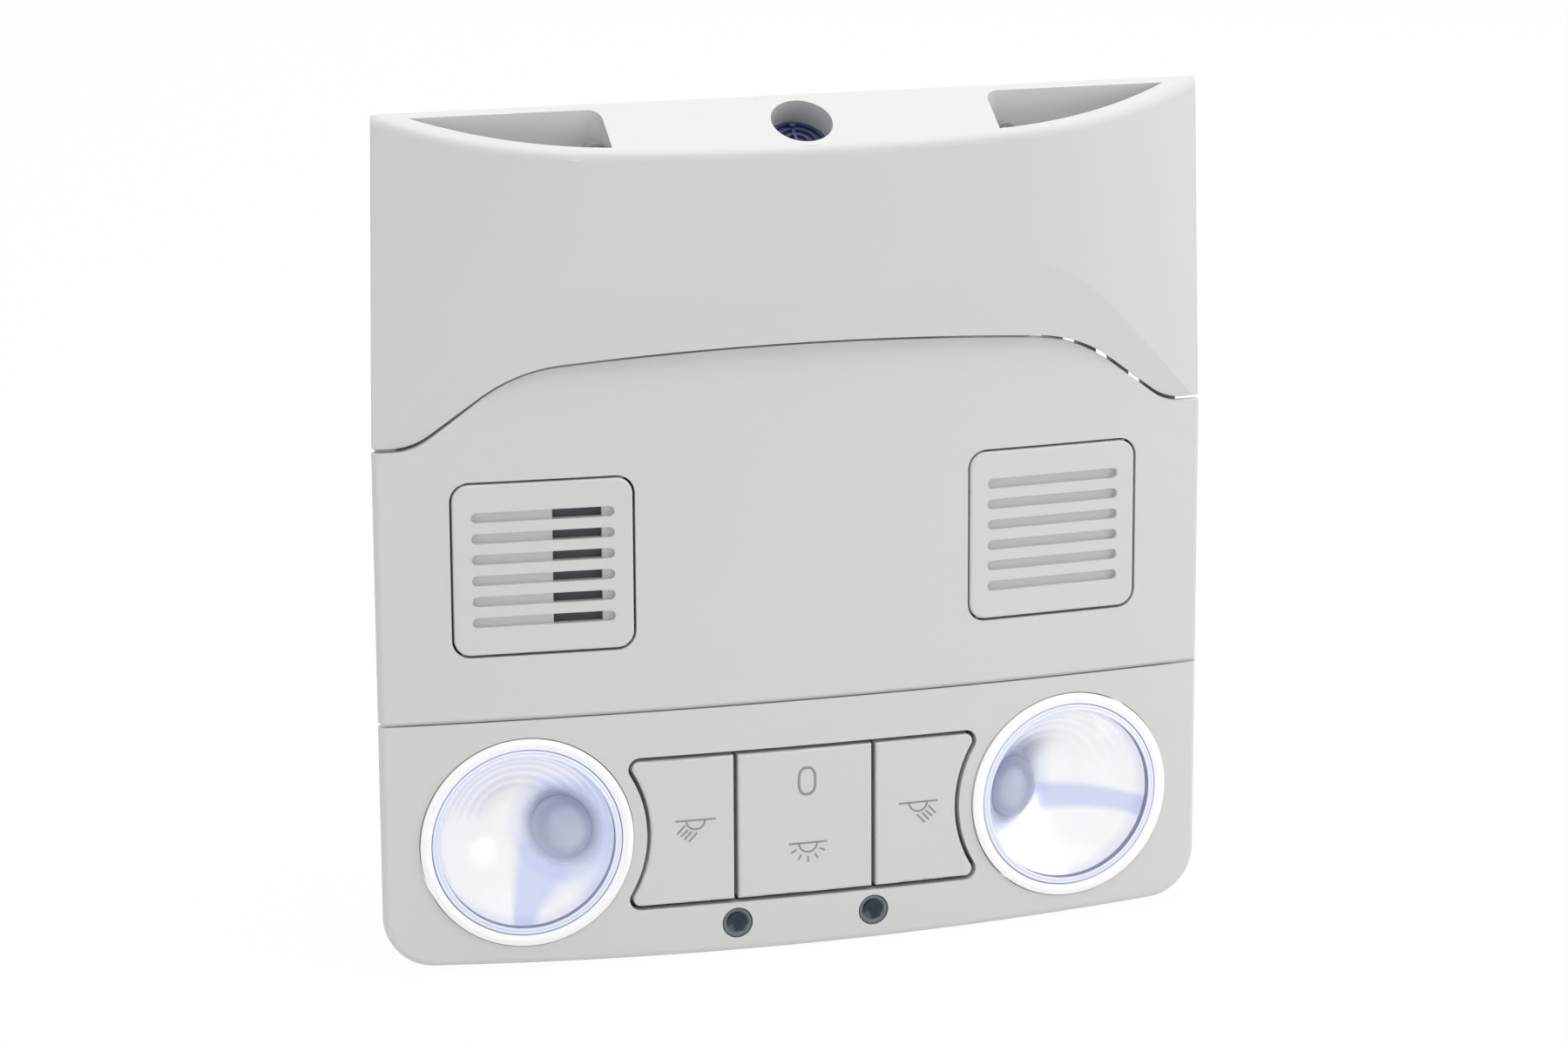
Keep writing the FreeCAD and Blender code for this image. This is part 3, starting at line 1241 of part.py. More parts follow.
BUILDERS = [build_upper_cover, build_centre_panel, build_lamp_bezel, build_grilles, build_microphone,
            build_lamps, build_buttons, build_rocker, build_switch_frame, build_carrier, build_screws,
            build_board, build_hood, build_connector, build_clips]
for builder in BUILDERS:
    builder()
doc.recompute()

for thing in doc.Objects:
    if {"Invalid", "Error"} & set(thing.State):
        raise RuntimeError(f"{thing.Name} failed: {thing.State}")
os.makedirs("parts", exist_ok=True)
for name, thing in nodes.items():
    if thing.Shape.isNull() or not thing.Shape.isValid():
        raise RuntimeError(f"{name} has no valid shape")
for name, thing in nodes.items():
    thing.Shape.exportStep(f"parts/{name}.step")
    bounds = thing.Shape.BoundBox
    print(f"{name}: solids {len(thing.Shape.Solids)}, volume {thing.Shape.Volume:.0f}, "
          f"x {bounds.XMin:.1f} {bounds.XMax:.1f}, y {bounds.YMin:.1f} {bounds.YMax:.1f}, "
          f"z {bounds.ZMin:.1f} {bounds.ZMax:.1f}")
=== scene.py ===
import json
import math

import bmesh
import bpy
import numpy as np
from bpy.props import FloatProperty, FloatVectorProperty, IntProperty, PointerProperty
from mathutils import Matrix, Vector


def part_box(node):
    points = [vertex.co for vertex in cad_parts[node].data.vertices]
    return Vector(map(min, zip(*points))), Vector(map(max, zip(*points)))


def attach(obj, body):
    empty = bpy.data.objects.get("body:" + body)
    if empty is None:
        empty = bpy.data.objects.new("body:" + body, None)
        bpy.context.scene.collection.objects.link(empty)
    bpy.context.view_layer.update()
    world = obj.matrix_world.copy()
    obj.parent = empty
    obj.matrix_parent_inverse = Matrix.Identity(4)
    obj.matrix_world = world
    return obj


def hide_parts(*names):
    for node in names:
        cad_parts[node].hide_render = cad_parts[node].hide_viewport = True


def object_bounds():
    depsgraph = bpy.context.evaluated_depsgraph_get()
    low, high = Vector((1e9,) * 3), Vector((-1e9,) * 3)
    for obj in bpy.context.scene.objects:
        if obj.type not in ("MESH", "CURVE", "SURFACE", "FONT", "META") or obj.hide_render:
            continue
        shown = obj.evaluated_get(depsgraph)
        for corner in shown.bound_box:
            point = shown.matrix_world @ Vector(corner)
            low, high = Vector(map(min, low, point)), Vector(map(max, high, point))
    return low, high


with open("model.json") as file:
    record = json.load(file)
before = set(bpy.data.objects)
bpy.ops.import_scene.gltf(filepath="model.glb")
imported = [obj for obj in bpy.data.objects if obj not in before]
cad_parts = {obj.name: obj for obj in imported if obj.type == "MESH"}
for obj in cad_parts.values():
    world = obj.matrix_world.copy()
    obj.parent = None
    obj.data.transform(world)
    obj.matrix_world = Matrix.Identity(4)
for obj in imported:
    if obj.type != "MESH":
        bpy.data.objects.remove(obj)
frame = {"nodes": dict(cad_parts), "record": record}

bl_info = {
    "name": "Car Courtesy Light",
    "version": (1, 0, 0),
    "blender": (4, 5, 0),
    "location": "View3D > Sidebar > Courtesy Light",
    "description": "Dresses the solids of an overhead courtesy light: lenses, mirrors, signs and finishes",
    "category": "Object",
}

CAD_BOX = [list(corner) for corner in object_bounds()]
SIDES = {"left": -1, "right": 1}
MM = 0.001

# The front faces are one cylinder about an upright axis.
FACE_RADIUS = 0.716
FACE_HEIGHT = 0.0075
FACE_AXIS = FACE_RADIUS - FACE_HEIGHT

# The photograph's camera: its place, and the directions to its right and its top.
CAMERA_PLACE = (-0.266182, -0.902099, 0.228120)
CAMERA_RIGHT = (0.95936456, -0.28212716, -0.00488947)
CAMERA_TOP = (0.06997491, 0.22108917, 0.97273999)
CAMERA_LENS = 111.71

# Size and place of each soft light, in metres.
LIGHTS = {"key": (1.3, (1.1, -0.5, 0.35)), "fill": (1.0, (-1.1, -0.6, 0.3)),
          "top": (1.3, (0.1, -0.25, 1.2)), "back": (1.2, (0.5, 1.2, 0.7))}


class LampSizes(bpy.types.PropertyGroup):
    """Sizes of the two reading lamps, measured from the lamp's place on the face."""

    spacing: FloatProperty(
        name="Spacing", description="Distance between the lamps", default=0.1133, unit="LENGTH")
    level: FloatProperty(
        name="Level", description="Height of the lamp centres", default=-0.0558, unit="LENGTH")
    crown: FloatProperty(
        name="Crown", description="Radius of the lens inside its ring", default=0.01891, unit="LENGTH")
    flange: FloatProperty(
        name="Flange", description="Radius of the lens flange", default=0.02016, unit="LENGTH")
    seat: FloatProperty(
        name="Seat", description="Depth of the flange's front", default=0.0008, unit="LENGTH")
    flange_depth: FloatProperty(
        name="Flange depth", description="Thickness of the flange", default=0.0018, unit="LENGTH")
    dome: FloatProperty(name="Dome", description="Rise of the lens", default=0.001, unit="LENGTH")
    lens_wall: FloatProperty(
        name="Lens wall", description="Thickness of the lens", default=0.0017, unit="LENGTH")
    ridge: FloatProperty(
        name="Ridges", description="Height of the lens's ridges", default=0.00012, unit="LENGTH")
    globe_radius: FloatProperty(
        name="Globe", description="Radius of the bulb's glass", default=0.0064, unit="LENGTH")
    globe_rise: FloatProperty(
        name="Globe rise", description="Length of its round end", default=0.0042, unit="LENGTH")
    globe_skirt: FloatProperty(
        name="Globe skirt", description="Length of its straight part", default=0.0008, unit="LENGTH")
    globe_end: FloatProperty(
        name="Globe end", description="Its end, from the sphere's middle", default=0.0171, unit="LENGTH")
    bowl_radius: FloatProperty(
        name="Bowl", description="Mouth radius of the mirror", default=0.0176, unit="LENGTH")
    bowl_depth: FloatProperty(
        name="Bowl depth", description="Depth of the mirror", default=0.0126, unit="LENGTH")
    bowl_mouth: FloatProperty(
        name="Bowl mouth", description="Depth of the mirror's mouth", default=0.0028, unit="LENGTH")
    collar: FloatProperty(
        name="Collar", description="Depth of the mirror's collar", default=0.00215, unit="LENGTH")
    port_radius: FloatProperty(
        name="Port", description="Radius of the bulb's flared opening", default=0.0091, unit="LENGTH")
    bulb_tilt: FloatProperty(
        name="Bulb tilt", description="Tilt of the bulb towards the middle", default=math.radians(32),
        subtype="ANGLE")
    streak_left: FloatProperty(
        name="Left streak", description="Fall of the bulb's reflection in the left mirror",
        default=math.radians(58), subtype="ANGLE")
    streak_right: FloatProperty(
        name="Right streak", description="Fall of the bulb's reflection in the right mirror",
        default=math.radians(2), subtype="ANGLE")
    streak_drop: FloatProperty(
        name="Streak drop", description="Height of the right streak below the bulb, as a share of the sphere",
        default=0.21, subtype="FACTOR")
    streak_half: FloatProperty(
        name="Streak width", description="Half width of the streaks, as a share of the sphere",
        default=0.125, subtype="FACTOR")
    taper_left: FloatProperty(
        name="Left taper", description="How fast the left streak narrows outwards", default=0.35,
        subtype="FACTOR")
    taper_right: FloatProperty(
        name="Right taper", description="How fast the right streak narrows outwards", default=0.05,
        subtype="FACTOR")
    steps_share: FloatProperty(
        name="Steps", description="How far the mirror's outer part is turned forwards", default=0.65,
        subtype="FACTOR")
    rib_rows: IntProperty(
        name="Ribs", description="Low ribs from the mirror's middle to its mouth", default=9)
    rib_glare: FloatProperty(
        name="Rib glare", description="How far glare takes the violet from the right mirror's ribs",
        default=0.8, subtype="FACTOR")
    rib_height: FloatProperty(
        name="Rib height", description="Height of the ribs", default=0.00007, unit="LENGTH")


class SignSizes(bpy.types.PropertyGroup):
    """Sizes of the printed signs on the switches."""

    line: FloatProperty(
        name="Line", description="Width of the printed lines", default=0.0004, unit="LENGTH")
    zero_line: FloatProperty(
        name="Zero's line", description="Width of the zero's line", default=0.00056, unit="LENGTH")
    proud: FloatProperty(name="Proud", description="Height of the print", default=0.00003, unit="LENGTH")
    left: FloatVectorProperty(
        name="Left", description="Place of the left lamp's sign", default=(-0.02275, -0.05365), size=2,
        unit="LENGTH")
    right: FloatVectorProperty(
        name="Right", description="Place of the right lamp's sign", default=(0.02375, -0.05405), size=2,
        unit="LENGTH")
    middle: FloatVectorProperty(
        name="Middle", description="Place of the rocker's lamp sign", default=(0.00045, -0.06035), size=2,
        unit="LENGTH")
    zero: FloatVectorProperty(
        name="Zero", description="Place of the zero", default=(0.0003, -0.04745), size=2, unit="LENGTH")
    button_roof: FloatProperty(
        name="Buttons' roof", description="Half of the roof line on a button", default=0.00415, unit="LENGTH")
    rocker_roof: FloatProperty(
        name="Rocker's roof", description="Half of the roof line on the rocker", default=0.004, unit="LENGTH")
    dome: FloatProperty(
        name="Dome", description="Radius of the lamp below the roof line", default=0.0019, unit="LENGTH")
    ray_inner: FloatProperty(
        name="Rays' inner end", description="Start of the rocker's rays", default=0.00275, unit="LENGTH")
    ray_outer: FloatProperty(
        name="Rays' outer end", description="End of the rocker's rays", default=0.004, unit="LENGTH")
    zero_width: FloatProperty(
        name="Zero's width", description="Width of the zero", default=0.0034, unit="LENGTH")
    zero_height: FloatProperty(
        name="Zero's height", description="Height of the zero", default=0.0055, unit="LENGTH")


class SeamSizes(bpy.types.PropertyGroup):
    """Sizes of the panel's tongue behind its seam with the bezel, and of its lip at the cover's left foot."""

    low: FloatProperty(name="Low", description="Height of its lower edge", default=-0.0306, unit="LENGTH")
    high: FloatProperty(name="High", description="Height of its upper edge", default=-0.03, unit="LENGTH")
    front: FloatProperty(name="Front", description="Depth of its front", default=0.0005, unit="LENGTH")
    back: FloatProperty(name="Back", description="Depth of its back", default=0.001, unit="LENGTH")
    half: FloatProperty(name="Half length", description="Half of its length", default=0.0848, unit="LENGTH")
    lip_low: FloatProperty(
        name="Lip low", description="Height of the lip's lower edge", default=0.02385, unit="LENGTH")
    lip_high: FloatProperty(
        name="Lip high", description="Height of its upper edge", default=0.02475, unit="LENGTH")
    lip_front: FloatProperty(
        name="Lip front", description="Depth of its front", default=0.0021, unit="LENGTH")
    lip_back: FloatProperty(name="Lip back", description="Depth of its back", default=0.0029, unit="LENGTH")
    lip_start: FloatProperty(
        name="Lip start", description="X of its outer end", default=-0.0843, unit="LENGTH")
    lip_stop: FloatProperty(
        name="Lip stop", description="X of its inner end", default=-0.0803, unit="LENGTH")


class WindowSizes(bpy.types.PropertyGroup):
    """Sizes of the two small windows below the switches."""

    spacing: FloatProperty(
        name="Spacing", description="Distance between the windows", default=0.0285, unit="LENGTH")
    level: FloatProperty(name="Level", description="Height of the windows", default=-0.0758, unit="LENGTH")
    radius: FloatProperty(name="Radius", description="Radius of a window", default=0.00295, unit="LENGTH")
    dish_radius: FloatProperty(
        name="Dish", description="Radius of its hollow middle", default=0.0023, unit="LENGTH")
    dish_depth: FloatProperty(
        name="Dish depth", description="Depth of the hollow", default=0.0009, unit="LENGTH")
    recess: FloatProperty(
        name="Recess", description="How deep its edge lies below the face", default=0.0004, unit="LENGTH")
    head_end: FloatProperty(
        name="Head end", description="Depth at which its head ends", default=0.0032, unit="LENGTH")
    stem_start: FloatProperty(
        name="Stem start", description="Depth at which its stem starts", default=0.0034, unit="LENGTH")
    stem_radius: FloatProperty(
        name="Stem radius", description="Radius of its stem", default=0.0019, unit="LENGTH")


class ClothSizes(bpy.types.PropertyGroup):
    """Sizes of the dark cloth behind the open slots of the left grille, a dark sheet that paints the shade
    seen through them.
    """

    grille: FloatProperty(
        name="Grille", description="X of the grille's middle", default=-0.0525, unit="LENGTH")
    offset: FloatProperty(
        name="Offset", description="Distance of the cloth's middle from the grille's", default=0.0069,
        unit="LENGTH")
    half_width: FloatProperty(
        name="Half width", description="Half of its width", default=0.0056, unit="LENGTH")
    half_height: FloatProperty(
        name="Half height", description="Half of its height", default=0.0126, unit="LENGTH")
    front: FloatProperty(name="Front", description="Depth of its front", default=0.00224, unit="LENGTH")
    back: FloatProperty(name="Back", description="Depth of its back", default=0.00234, unit="LENGTH")


class FinishColours(bpy.types.PropertyGroup):
    """Colours of the main finishes."""

    trim: FloatVectorProperty(
        name="Trim", description="Pale grey plastic", default=(0.6, 0.6, 0.592), subtype="COLOR")
    ring: FloatVectorProperty(
        name="Ring", description="Lamp rings", default=(0.93, 0.93, 0.94), subtype="COLOR")
    mirror: FloatVectorProperty(
        name="Mirror", description="Metallised bowls", default=(0.995, 0.995, 1.0), subtype="COLOR")
    # Painted violet reflections in the mirror bowls.
    violet: FloatVectorProperty(
        name="Violet", description="Violet parts of the bowls", default=(0.62, 0.67, 0.92), subtype="COLOR")
    lens: FloatVectorProperty(
        name="Lens", description="Clear lenses", default=(0.995, 0.995, 1.0), subtype="COLOR")
    lens_edge: FloatVectorProperty(
        name="Lens edge", description="Violet lens edges", default=(0.66, 0.71, 0.95), subtype="COLOR")
    # Painted shade on the mirror's cone round the bulb's foot, dull and dark.
    port: FloatVectorProperty(
        name="Port", description="Dull cone round the bulb", default=(0.62, 0.66, 0.86), subtype="COLOR")
    bulb: FloatVectorProperty(
        name="Bulb", description="Coated glass of the bulbs", default=(0.56, 0.61, 0.86), subtype="COLOR")
    # Painted light: the bulbs' paler lower side, towards the middle.
    bulb_painted_light: FloatVectorProperty(
        name="Bulb's low side", description="Paler low side of the bulbs", default=(0.76, 0.82, 1.0),
        subtype="COLOR")
    sign: FloatVectorProperty(
        name="Sign", description="Print on the switches", default=(0.27, 0.265, 0.29), subtype="COLOR")
    window: FloatVectorProperty(
        name="Window", description="Dark lamp windows", default=(0.008, 0.02, 0.034), subtype="COLOR")
    window_lip: FloatVectorProperty(
        name="Window lip", description="Paler lip of a window", default=(0.13, 0.15, 0.165), subtype="COLOR")


class StageLook(bpy.types.PropertyGroup):
    """Light and floor."""

    key: FloatProperty(name="Key", description="Power of the key light", default=8.0, unit="POWER")
    fill: FloatProperty(name="Fill", description="Power of the fill light", default=3.3, unit="POWER")
    top: FloatProperty(name="Top", description="Power of the top light", default=15.5, unit="POWER")
    back: FloatProperty(
        name="Back", description="Power of the light behind the piece", default=6.0, unit="POWER")
    ambient: FloatProperty(name="Ambient", description="Strength of the surrounding light", default=0.28)
    floor_gap: FloatProperty(
        name="Floor gap", description="Gap between the floor and the piece", default=0.0004, unit="LENGTH")
    floor_white: FloatProperty(
        name="Floor white", description="Share of plain white in the floor", default=0.97, subtype="FACTOR")


def face_depth(x, proud=0.0):
    """Y of the face's cylinder at X: axis minus the root of the squared radius less the squared X."""
    return FACE_AXIS - np.sqrt((FACE_RADIUS + proud) ** 2 - x ** 2)


def face_turn(x):
    """Turn about Z that takes the Y axis to the face's normal at X."""
    return np.array(Matrix.Rotation(math.asin(x / FACE_RADIUS), 3, "Z"))


def on_face(points, x, z):
    """Turn points about Z so that their Y axis becomes the face's normal at X, and move them there."""
    return points @ face_turn(x).T + np.array([x, face_depth(x), z])


def off_face(points, x, z):
    """Undo on_face: points back in the piece's own place, with the face's normal along Y."""
    return (points - np.array([x, face_depth(x), z])) @ face_turn(x)


def mesh_points(piece):
    """All vertices of a mesh object as rows."""
    points = np.empty(len(piece.data.vertices) * 3, np.float32)
    piece.data.vertices.foreach_get("co", points)
    return points.reshape(-1, 3).astype(float)


def store_values(piece, name, values):
    """Keep one number for each vertex, for the piece's material."""
    piece.data.attributes.new(name, "FLOAT", "POINT").data.foreach_set("value", values.astype(np.float32))


def add_mesh(name, vertices, faces, smooth=True):
    """New object at the origin from vertices and faces, with doubles merged and faces turned outwards."""
    mesh = bpy.data.meshes.new(name)
    mesh.from_pydata(vertices.tolist(), [], faces)
    work = bmesh.new()
    work.from_mesh(mesh)
    bmesh.ops.remove_doubles(work, verts=work.verts, dist=1e-7)
    bmesh.ops.dissolve_degenerate(work, edges=work.edges, dist=1e-8)
    bmesh.ops.recalc_face_normals(work, faces=work.faces)
    work.to_mesh(mesh)
    work.free()
    mesh.polygons.foreach_set("use_smooth", [smooth] * len(mesh.polygons))
    piece = bpy.data.objects.new(name, mesh)
    bpy.context.scene.collection.objects.link(piece)
    return piece


def grid_faces(rows, columns, wrap_columns=False, start=0):
    """Quads of a grid of rows by columns; wrapped columns join the last to the first."""
    index = np.arange(rows * columns).reshape(rows, columns)
    if wrap_columns:
        index = np.hstack([index, index[:, :1]])
    quads = np.stack([index[:-1, :-1], index[:-1, 1:], index[1:, 1:], index[1:, :-1]], axis=-1)
    return (quads.reshape(-1, 4) + start).tolist()


def turned(profile, segments):
    """Profile of (radius, depth) rows carried round the Y axis: (r cos a, depth, r sin a)."""
    angle = np.linspace(0, 2 * math.pi, segments, endpoint=False)
    radius, depth = profile[:, :1], profile[:, 1:]
    ring = np.ones_like(angle)
    return np.stack([radius * np.cos(angle), depth * ring, radius * np.sin(angle)], axis=-1)


def smooth_step(value, low, high):
    """0 below low, 1 above high, and the cubic 3t^2 - 2t^3 between."""
    share = np.clip((value - low) / (high - low), 0, 1)
    return share * share * (3 - 2 * share)


def rounded_profile(corners, radius, steps=5):
    """Corner points joined by straight lines, each inner corner replaced by a quadratic curve."""
    corners = np.asarray(corners, float)
    before, middle, after = corners[:-2], corners[1:-1], corners[2:]
    towards_before = before - middle
    towards_after = after - middle
    length_before = np.linalg.norm(towards_before, axis=1, keepdims=True)
    length_after = np.linalg.norm(towards_after, axis=1, keepdims=True)
    start = middle + towards_before * np.minimum(radius / length_before, 0.45)
    stop = middle + towards_after * np.minimum(radius / length_after, 0.45)
    share = np.linspace(0, 1, steps)[None, :, None]
    curve = ((1 - share) ** 2 * start[:, None] + 2 * share * (1 - share) * middle[:, None]
             + share ** 2 * stop[:, None])
    return np.vstack([corners[:1], curve.reshape(-1, 2), corners[-1:]])


def lens_surface(lamp, segments=128):
    """Domed lens: a profile down the domed front, round the flange and up the hollow back, turned about Y.

    Both sides are parabolas, depth = top + rise (r / edge)^2. Two fine ridges, squared sine waves, run round
    the front outside the bowl's mouth."""
    ridges = np.linspace(lamp.bowl_radius, lamp.crown, 33)
    front_radius = np.concatenate([np.linspace(0, lamp.bowl_radius, 24)[:-1], ridges])
    top = lamp.seat - 2 * lamp.dome
    across = np.clip((front_radius - lamp.bowl_radius) / (lamp.crown - lamp.bowl_radius), 0, 1)
    rise = lamp.ridge * np.sin(2 * math.pi * across) ** 2
    front = np.stack([front_radius, top + lamp.dome * (front_radius / lamp.crown) ** 2 - rise], axis=1)
    end = lamp.seat + lamp.flange_depth
    corners = [front[-1], (lamp.crown, lamp.seat), (lamp.flange, lamp.seat), (lamp.flange, end)]
    edge = rounded_profile(corners, 0.2 * MM)
    back_radius = np.linspace(lamp.flange, 0, 24)
    hollow = top + lamp.lens_wall
    back = np.stack([back_radius, hollow + (end - hollow) * (back_radius / lamp.flange) ** 2], axis=1)
    profile = np.vstack([front, edge[1:], back[1:]])
    grid = turned(profile, segments)
    return grid.reshape(-1, 3), grid_faces(*grid.shape[:2], wrap_columns=True)


def lens_tint(points, lamp):
    """Share of violet on the lens's frosted edge: a squared cosine, least on the two ridges."""
    radius = np.hypot(points[:, 0], points[:, 2])
    across = (radius - lamp.bowl_radius) / (lamp.crown - lamp.bowl_radius)
    least = 0.35
    return least + (1 - least) * np.cos(2 * math.pi * np.clip(across, 0, 1)) ** 2


def bowl_sphere(lamp):
    """Radius of the bowl's sphere, (mouth^2 + depth^2) / (2 depth), and the mouth's angle off its axis."""
    sphere = (lamp.bowl_radius ** 2 + lamp.bowl_depth ** 2) / (2 * lamp.bowl_depth)
    return sphere, math.asin(lamp.bowl_radius / sphere)


def bulb_frame(lamp, side):
    """Middle of the bowl's sphere, and the bulb's axis with two directions square to it."""
    sphere, _ = bowl_sphere(lamp)
    tilt = lamp.bulb_tilt * side
    axis = np.array([-math.sin(tilt), math.cos(tilt), 0])
    across = np.array([math.cos(tilt), math.sin(tilt), 0])
    return np.array([0, lamp.bowl_mouth + lamp.bowl_depth - sphere, 0]), axis, across, np.array([0, 0, 1])


def bulb_surface(lamp, side, segments=96):
    """Bulb's glass: half an ellipsoid, then a short cylinder and a flat end, turned about the tilted axis."""
    centre, axis, across, upright = bulb_frame(lamp, side)
    lift = np.linspace(0, math.pi / 2, 24)
    cap = np.stack([lamp.globe_radius * np.sin(lift), lamp.globe_end - lamp.globe_skirt
                    - lamp.globe_rise * np.cos(lift)], axis=1)
    skirt = np.array([[lamp.globe_radius, lamp.globe_end], [0, lamp.globe_end]])
    profile = np.vstack([cap, rounded_profile(np.vstack([cap[-1:], skirt]), 0.4 * MM)[1:]])
    angle = np.linspace(0, 2 * math.pi, segments, endpoint=False)
    radius, along = profile[:, :1, None], profile[:, 1:, None]
    ring = across * np.cos(angle)[:, None] + upright * np.sin(angle)[:, None]
    grid = centre + axis * along + ring * radius
    return grid.reshape(-1, 3), grid_faces(*grid.shape[:2], wrap_columns=True)


def painted_bulb_light(points, lamp, side):
    """Share of painted light on a bulb, a paler tone: it grows downwards and towards the middle of the light.
    """
    centre, _, across, upright = bulb_frame(lamp, side)
    away = (points - centre) / lamp.globe_radius
    return smooth_step(-0.6 * side * (away @ across) - 0.8 * (away @ upright), -0.6, 1.0)


def rib_waves(direction, lamp):
    """Angle of directions off the lamp's axis, and the height of the ribs there, from 0 to 1.

    The ribs are a sine of that angle without its sign, faded in upwards and outwards."""
    _, mouth = bowl_sphere(lamp)
    around = np.arctan2(direction[..., 2], direction[..., 0])
    polar = np.arccos(np.clip(direction[..., 1], -1, 1))
    upper = smooth_step(np.sin(around), 0.1, 0.6) * smooth_step(polar, 0.35, 0.6)
    return polar, upper * np.abs(np.sin(polar / mouth * math.pi * lamp.rib_rows))


def mirror_surface(lamp, side, rows=72, cone_rows=10, columns=288, inset=0.00012):
    """Skin of the mirror bowl between the bulb and the mouth, on a sphere just inside the solid bowl.

    A cone leads from the bulb's foot to the opening's circle. From there each line runs on the sphere to the
    mouth's point of the same angle, by spherical interpolation, and a collar goes on to the lens. Low ribs,
    sine waves in depth, cover its upper part."""
    sphere, mouth = bowl_sphere(lamp)
    centre, axis, across, upright = bulb_frame(lamp, side)
    angle = np.linspace(0, 2 * math.pi, columns, endpoint=False)
    port = math.asin(lamp.port_radius / sphere)
    ring = across * np.cos(angle)[:, None] + upright * np.sin(angle)[:, None]
    inner = axis * math.cos(port) + ring * math.sin(port)
    outer = np.stack([math.sin(mouth) * np.cos(angle), np.full_like(angle, math.cos(mouth)),
                      math.sin(mouth) * np.sin(angle)], axis=1)
    share = np.linspace(0, 1, rows)[:, None, None]
    between = np.arccos(np.clip(np.sum(inner * outer, axis=1), -1, 1))[None, :, None]
    direction = (np.sin((1 - share) * between) * inner + np.sin(share * between) * outer) / np.sin(between)
    polar, ribs = rib_waves(direction, lamp)
    radius = sphere - inset - lamp.rib_height * ribs * smooth_step(mouth - polar, 0.0, 0.05)
    bowl = centre + direction * radius[..., None]
    foot = centre + axis * lamp.globe_end + ring * lamp.globe_radius * 0.98
    share = np.linspace(0, 1, cone_rows, endpoint=False)[:, None, None]
    collar = bowl[-1:] * [1, 0, 1] + [0, lamp.collar, 0]
    grid = np.vstack([foot * (1 - share) + bowl[0] * share, bowl, collar])
    return grid.reshape(-1, 3), grid_faces(*grid.shape[:2], wrap_columns=True)


def painted_mirror_reflection(points, lamp, side):
    """Share of painted violet reflection on the mirror: the bulb's painted reflection as a streak from the
    bulb, and painted reflections at the mouth, on the ribs and beside the bulb.

    Points are taken as directions from the sphere's centre. The streak is the strip round a half line that
    leaves the bulb's direction outwards and downwards, and its width falls along that line."""
    _, mouth = bowl_sphere(lamp)
    centre, axis, _, _ = bulb_frame(lamp, side)
    away = points - centre
    away /= np.linalg.norm(away, axis=1, keepdims=True)
    left = lamp.streak_left, 0, lamp.taper_left
    right = lamp.streak_right, lamp.streak_drop, lamp.taper_right
    fall, drop, taper = right if side > 0 else left
    flat = np.stack([away[:, 0] * side + math.sin(lamp.bulb_tilt), away[:, 2] + drop], axis=1)
    along = flat @ np.array([math.cos(fall), -math.sin(fall)])
    beside = np.abs(flat @ np.array([math.sin(fall), math.cos(fall)]))
    half = np.maximum(lamp.streak_half + taper * (1 - along), lamp.streak_half / 2)
    streak = smooth_step(along, 0.3, 0.55) * (1 - smooth_step(beside / half, 0.6, 1.4))
    polar, ribs = rib_waves(away, lamp)
    ring = smooth_step(polar / mouth, 0.86, 0.97)
    # Painted glare: the right mirror's ribs lose their painted violet towards its outer side.
    ribs *= 1 - lamp.rib_glare * smooth_step(away[:, 0], -0.3, 0.25) * (side > 0)
    near = 1 - smooth_step(np.arccos(np.clip(away @ axis, -1, 1)), 0.5, 0.72)
    inner = smooth_step(-away[:, 0] * side, 0.45, 0.8)
    return np.clip(0.85 * streak + 0.25 * ring + 0.5 * (ribs + near + inner), 0, 1)


def mirror_normals(points, lamp, side, x):
    """Shading normals of the mirror: to the sphere's middle, and turned forwards, more so near the mouth.

    So the bowl sends the room's light out of the lens, as the fine steps of a real reflector do."""
    centre, _, _, _ = bulb_frame(lamp, side)
    inward = centre - points
    inward /= np.linalg.norm(inward, axis=1, keepdims=True)
    share = lamp.steps_share * smooth_step(np.arccos(np.clip(-inward[:, 1:2], -1, 1)), 0.2, 0.9)
    normals = inward * (1 - share) + np.array([0, -1, 0]) * share
    normals /= np.linalg.norm(normals, axis=1, keepdims=True)
    return normals @ face_turn(x).T


def painted_mirror_shade(points, lamp, side):
    """Share of painted shade on the mirror's cone: 1 at the bulb's foot, fading to 0 just outside the
    opening.
    """
    centre, axis, _, _ = bulb_frame(lamp, side)
    away = points - centre
    out = np.linalg.norm(away - np.outer(away @ axis, axis), axis=1)
    return (1 - smooth_step(out, lamp.globe_radius, lamp.port_radius * 1.08)) * (away @ axis > 0)


def stroke(path, width, proud):
    """Printed line: a flat box profile carried along a path of (x, z) rows and laid on the face's cylinder.

    The path is pushed to both sides along its normal by half the width."""
    path = np.asarray(path, float)
    tangent = np.gradient(path, axis=0)
    tangent /= np.linalg.norm(tangent, axis=1, keepdims=True)
    normal = np.stack([-tangent[:, 1], tangent[:, 0]], axis=1) * width / 2
    low, high = (path - normal).T, (path + normal).T
    corners = [(low, proud), (high, proud), (high, -proud), (low, -proud)]
    rows = [np.stack([x, face_depth(x, height), z], axis=1) for (x, z), height in corners]
    return np.stack(rows, axis=1)


def straight(start, stop, count=12):
    """Points on the line between two (x, z) points."""
    share = np.linspace(0, 1, count)[:, None]
    return np.asarray(start) * (1 - share) + np.asarray(stop) * share


def arc(centre, radius, first, last, count=40):
    """Points on an arc of (x, z), with its angles in degrees."""
    angle = np.radians(np.linspace(first, last, count))
    return np.stack([centre[0] + radius * np.cos(angle), centre[1] + radius * np.sin(angle)], axis=1)


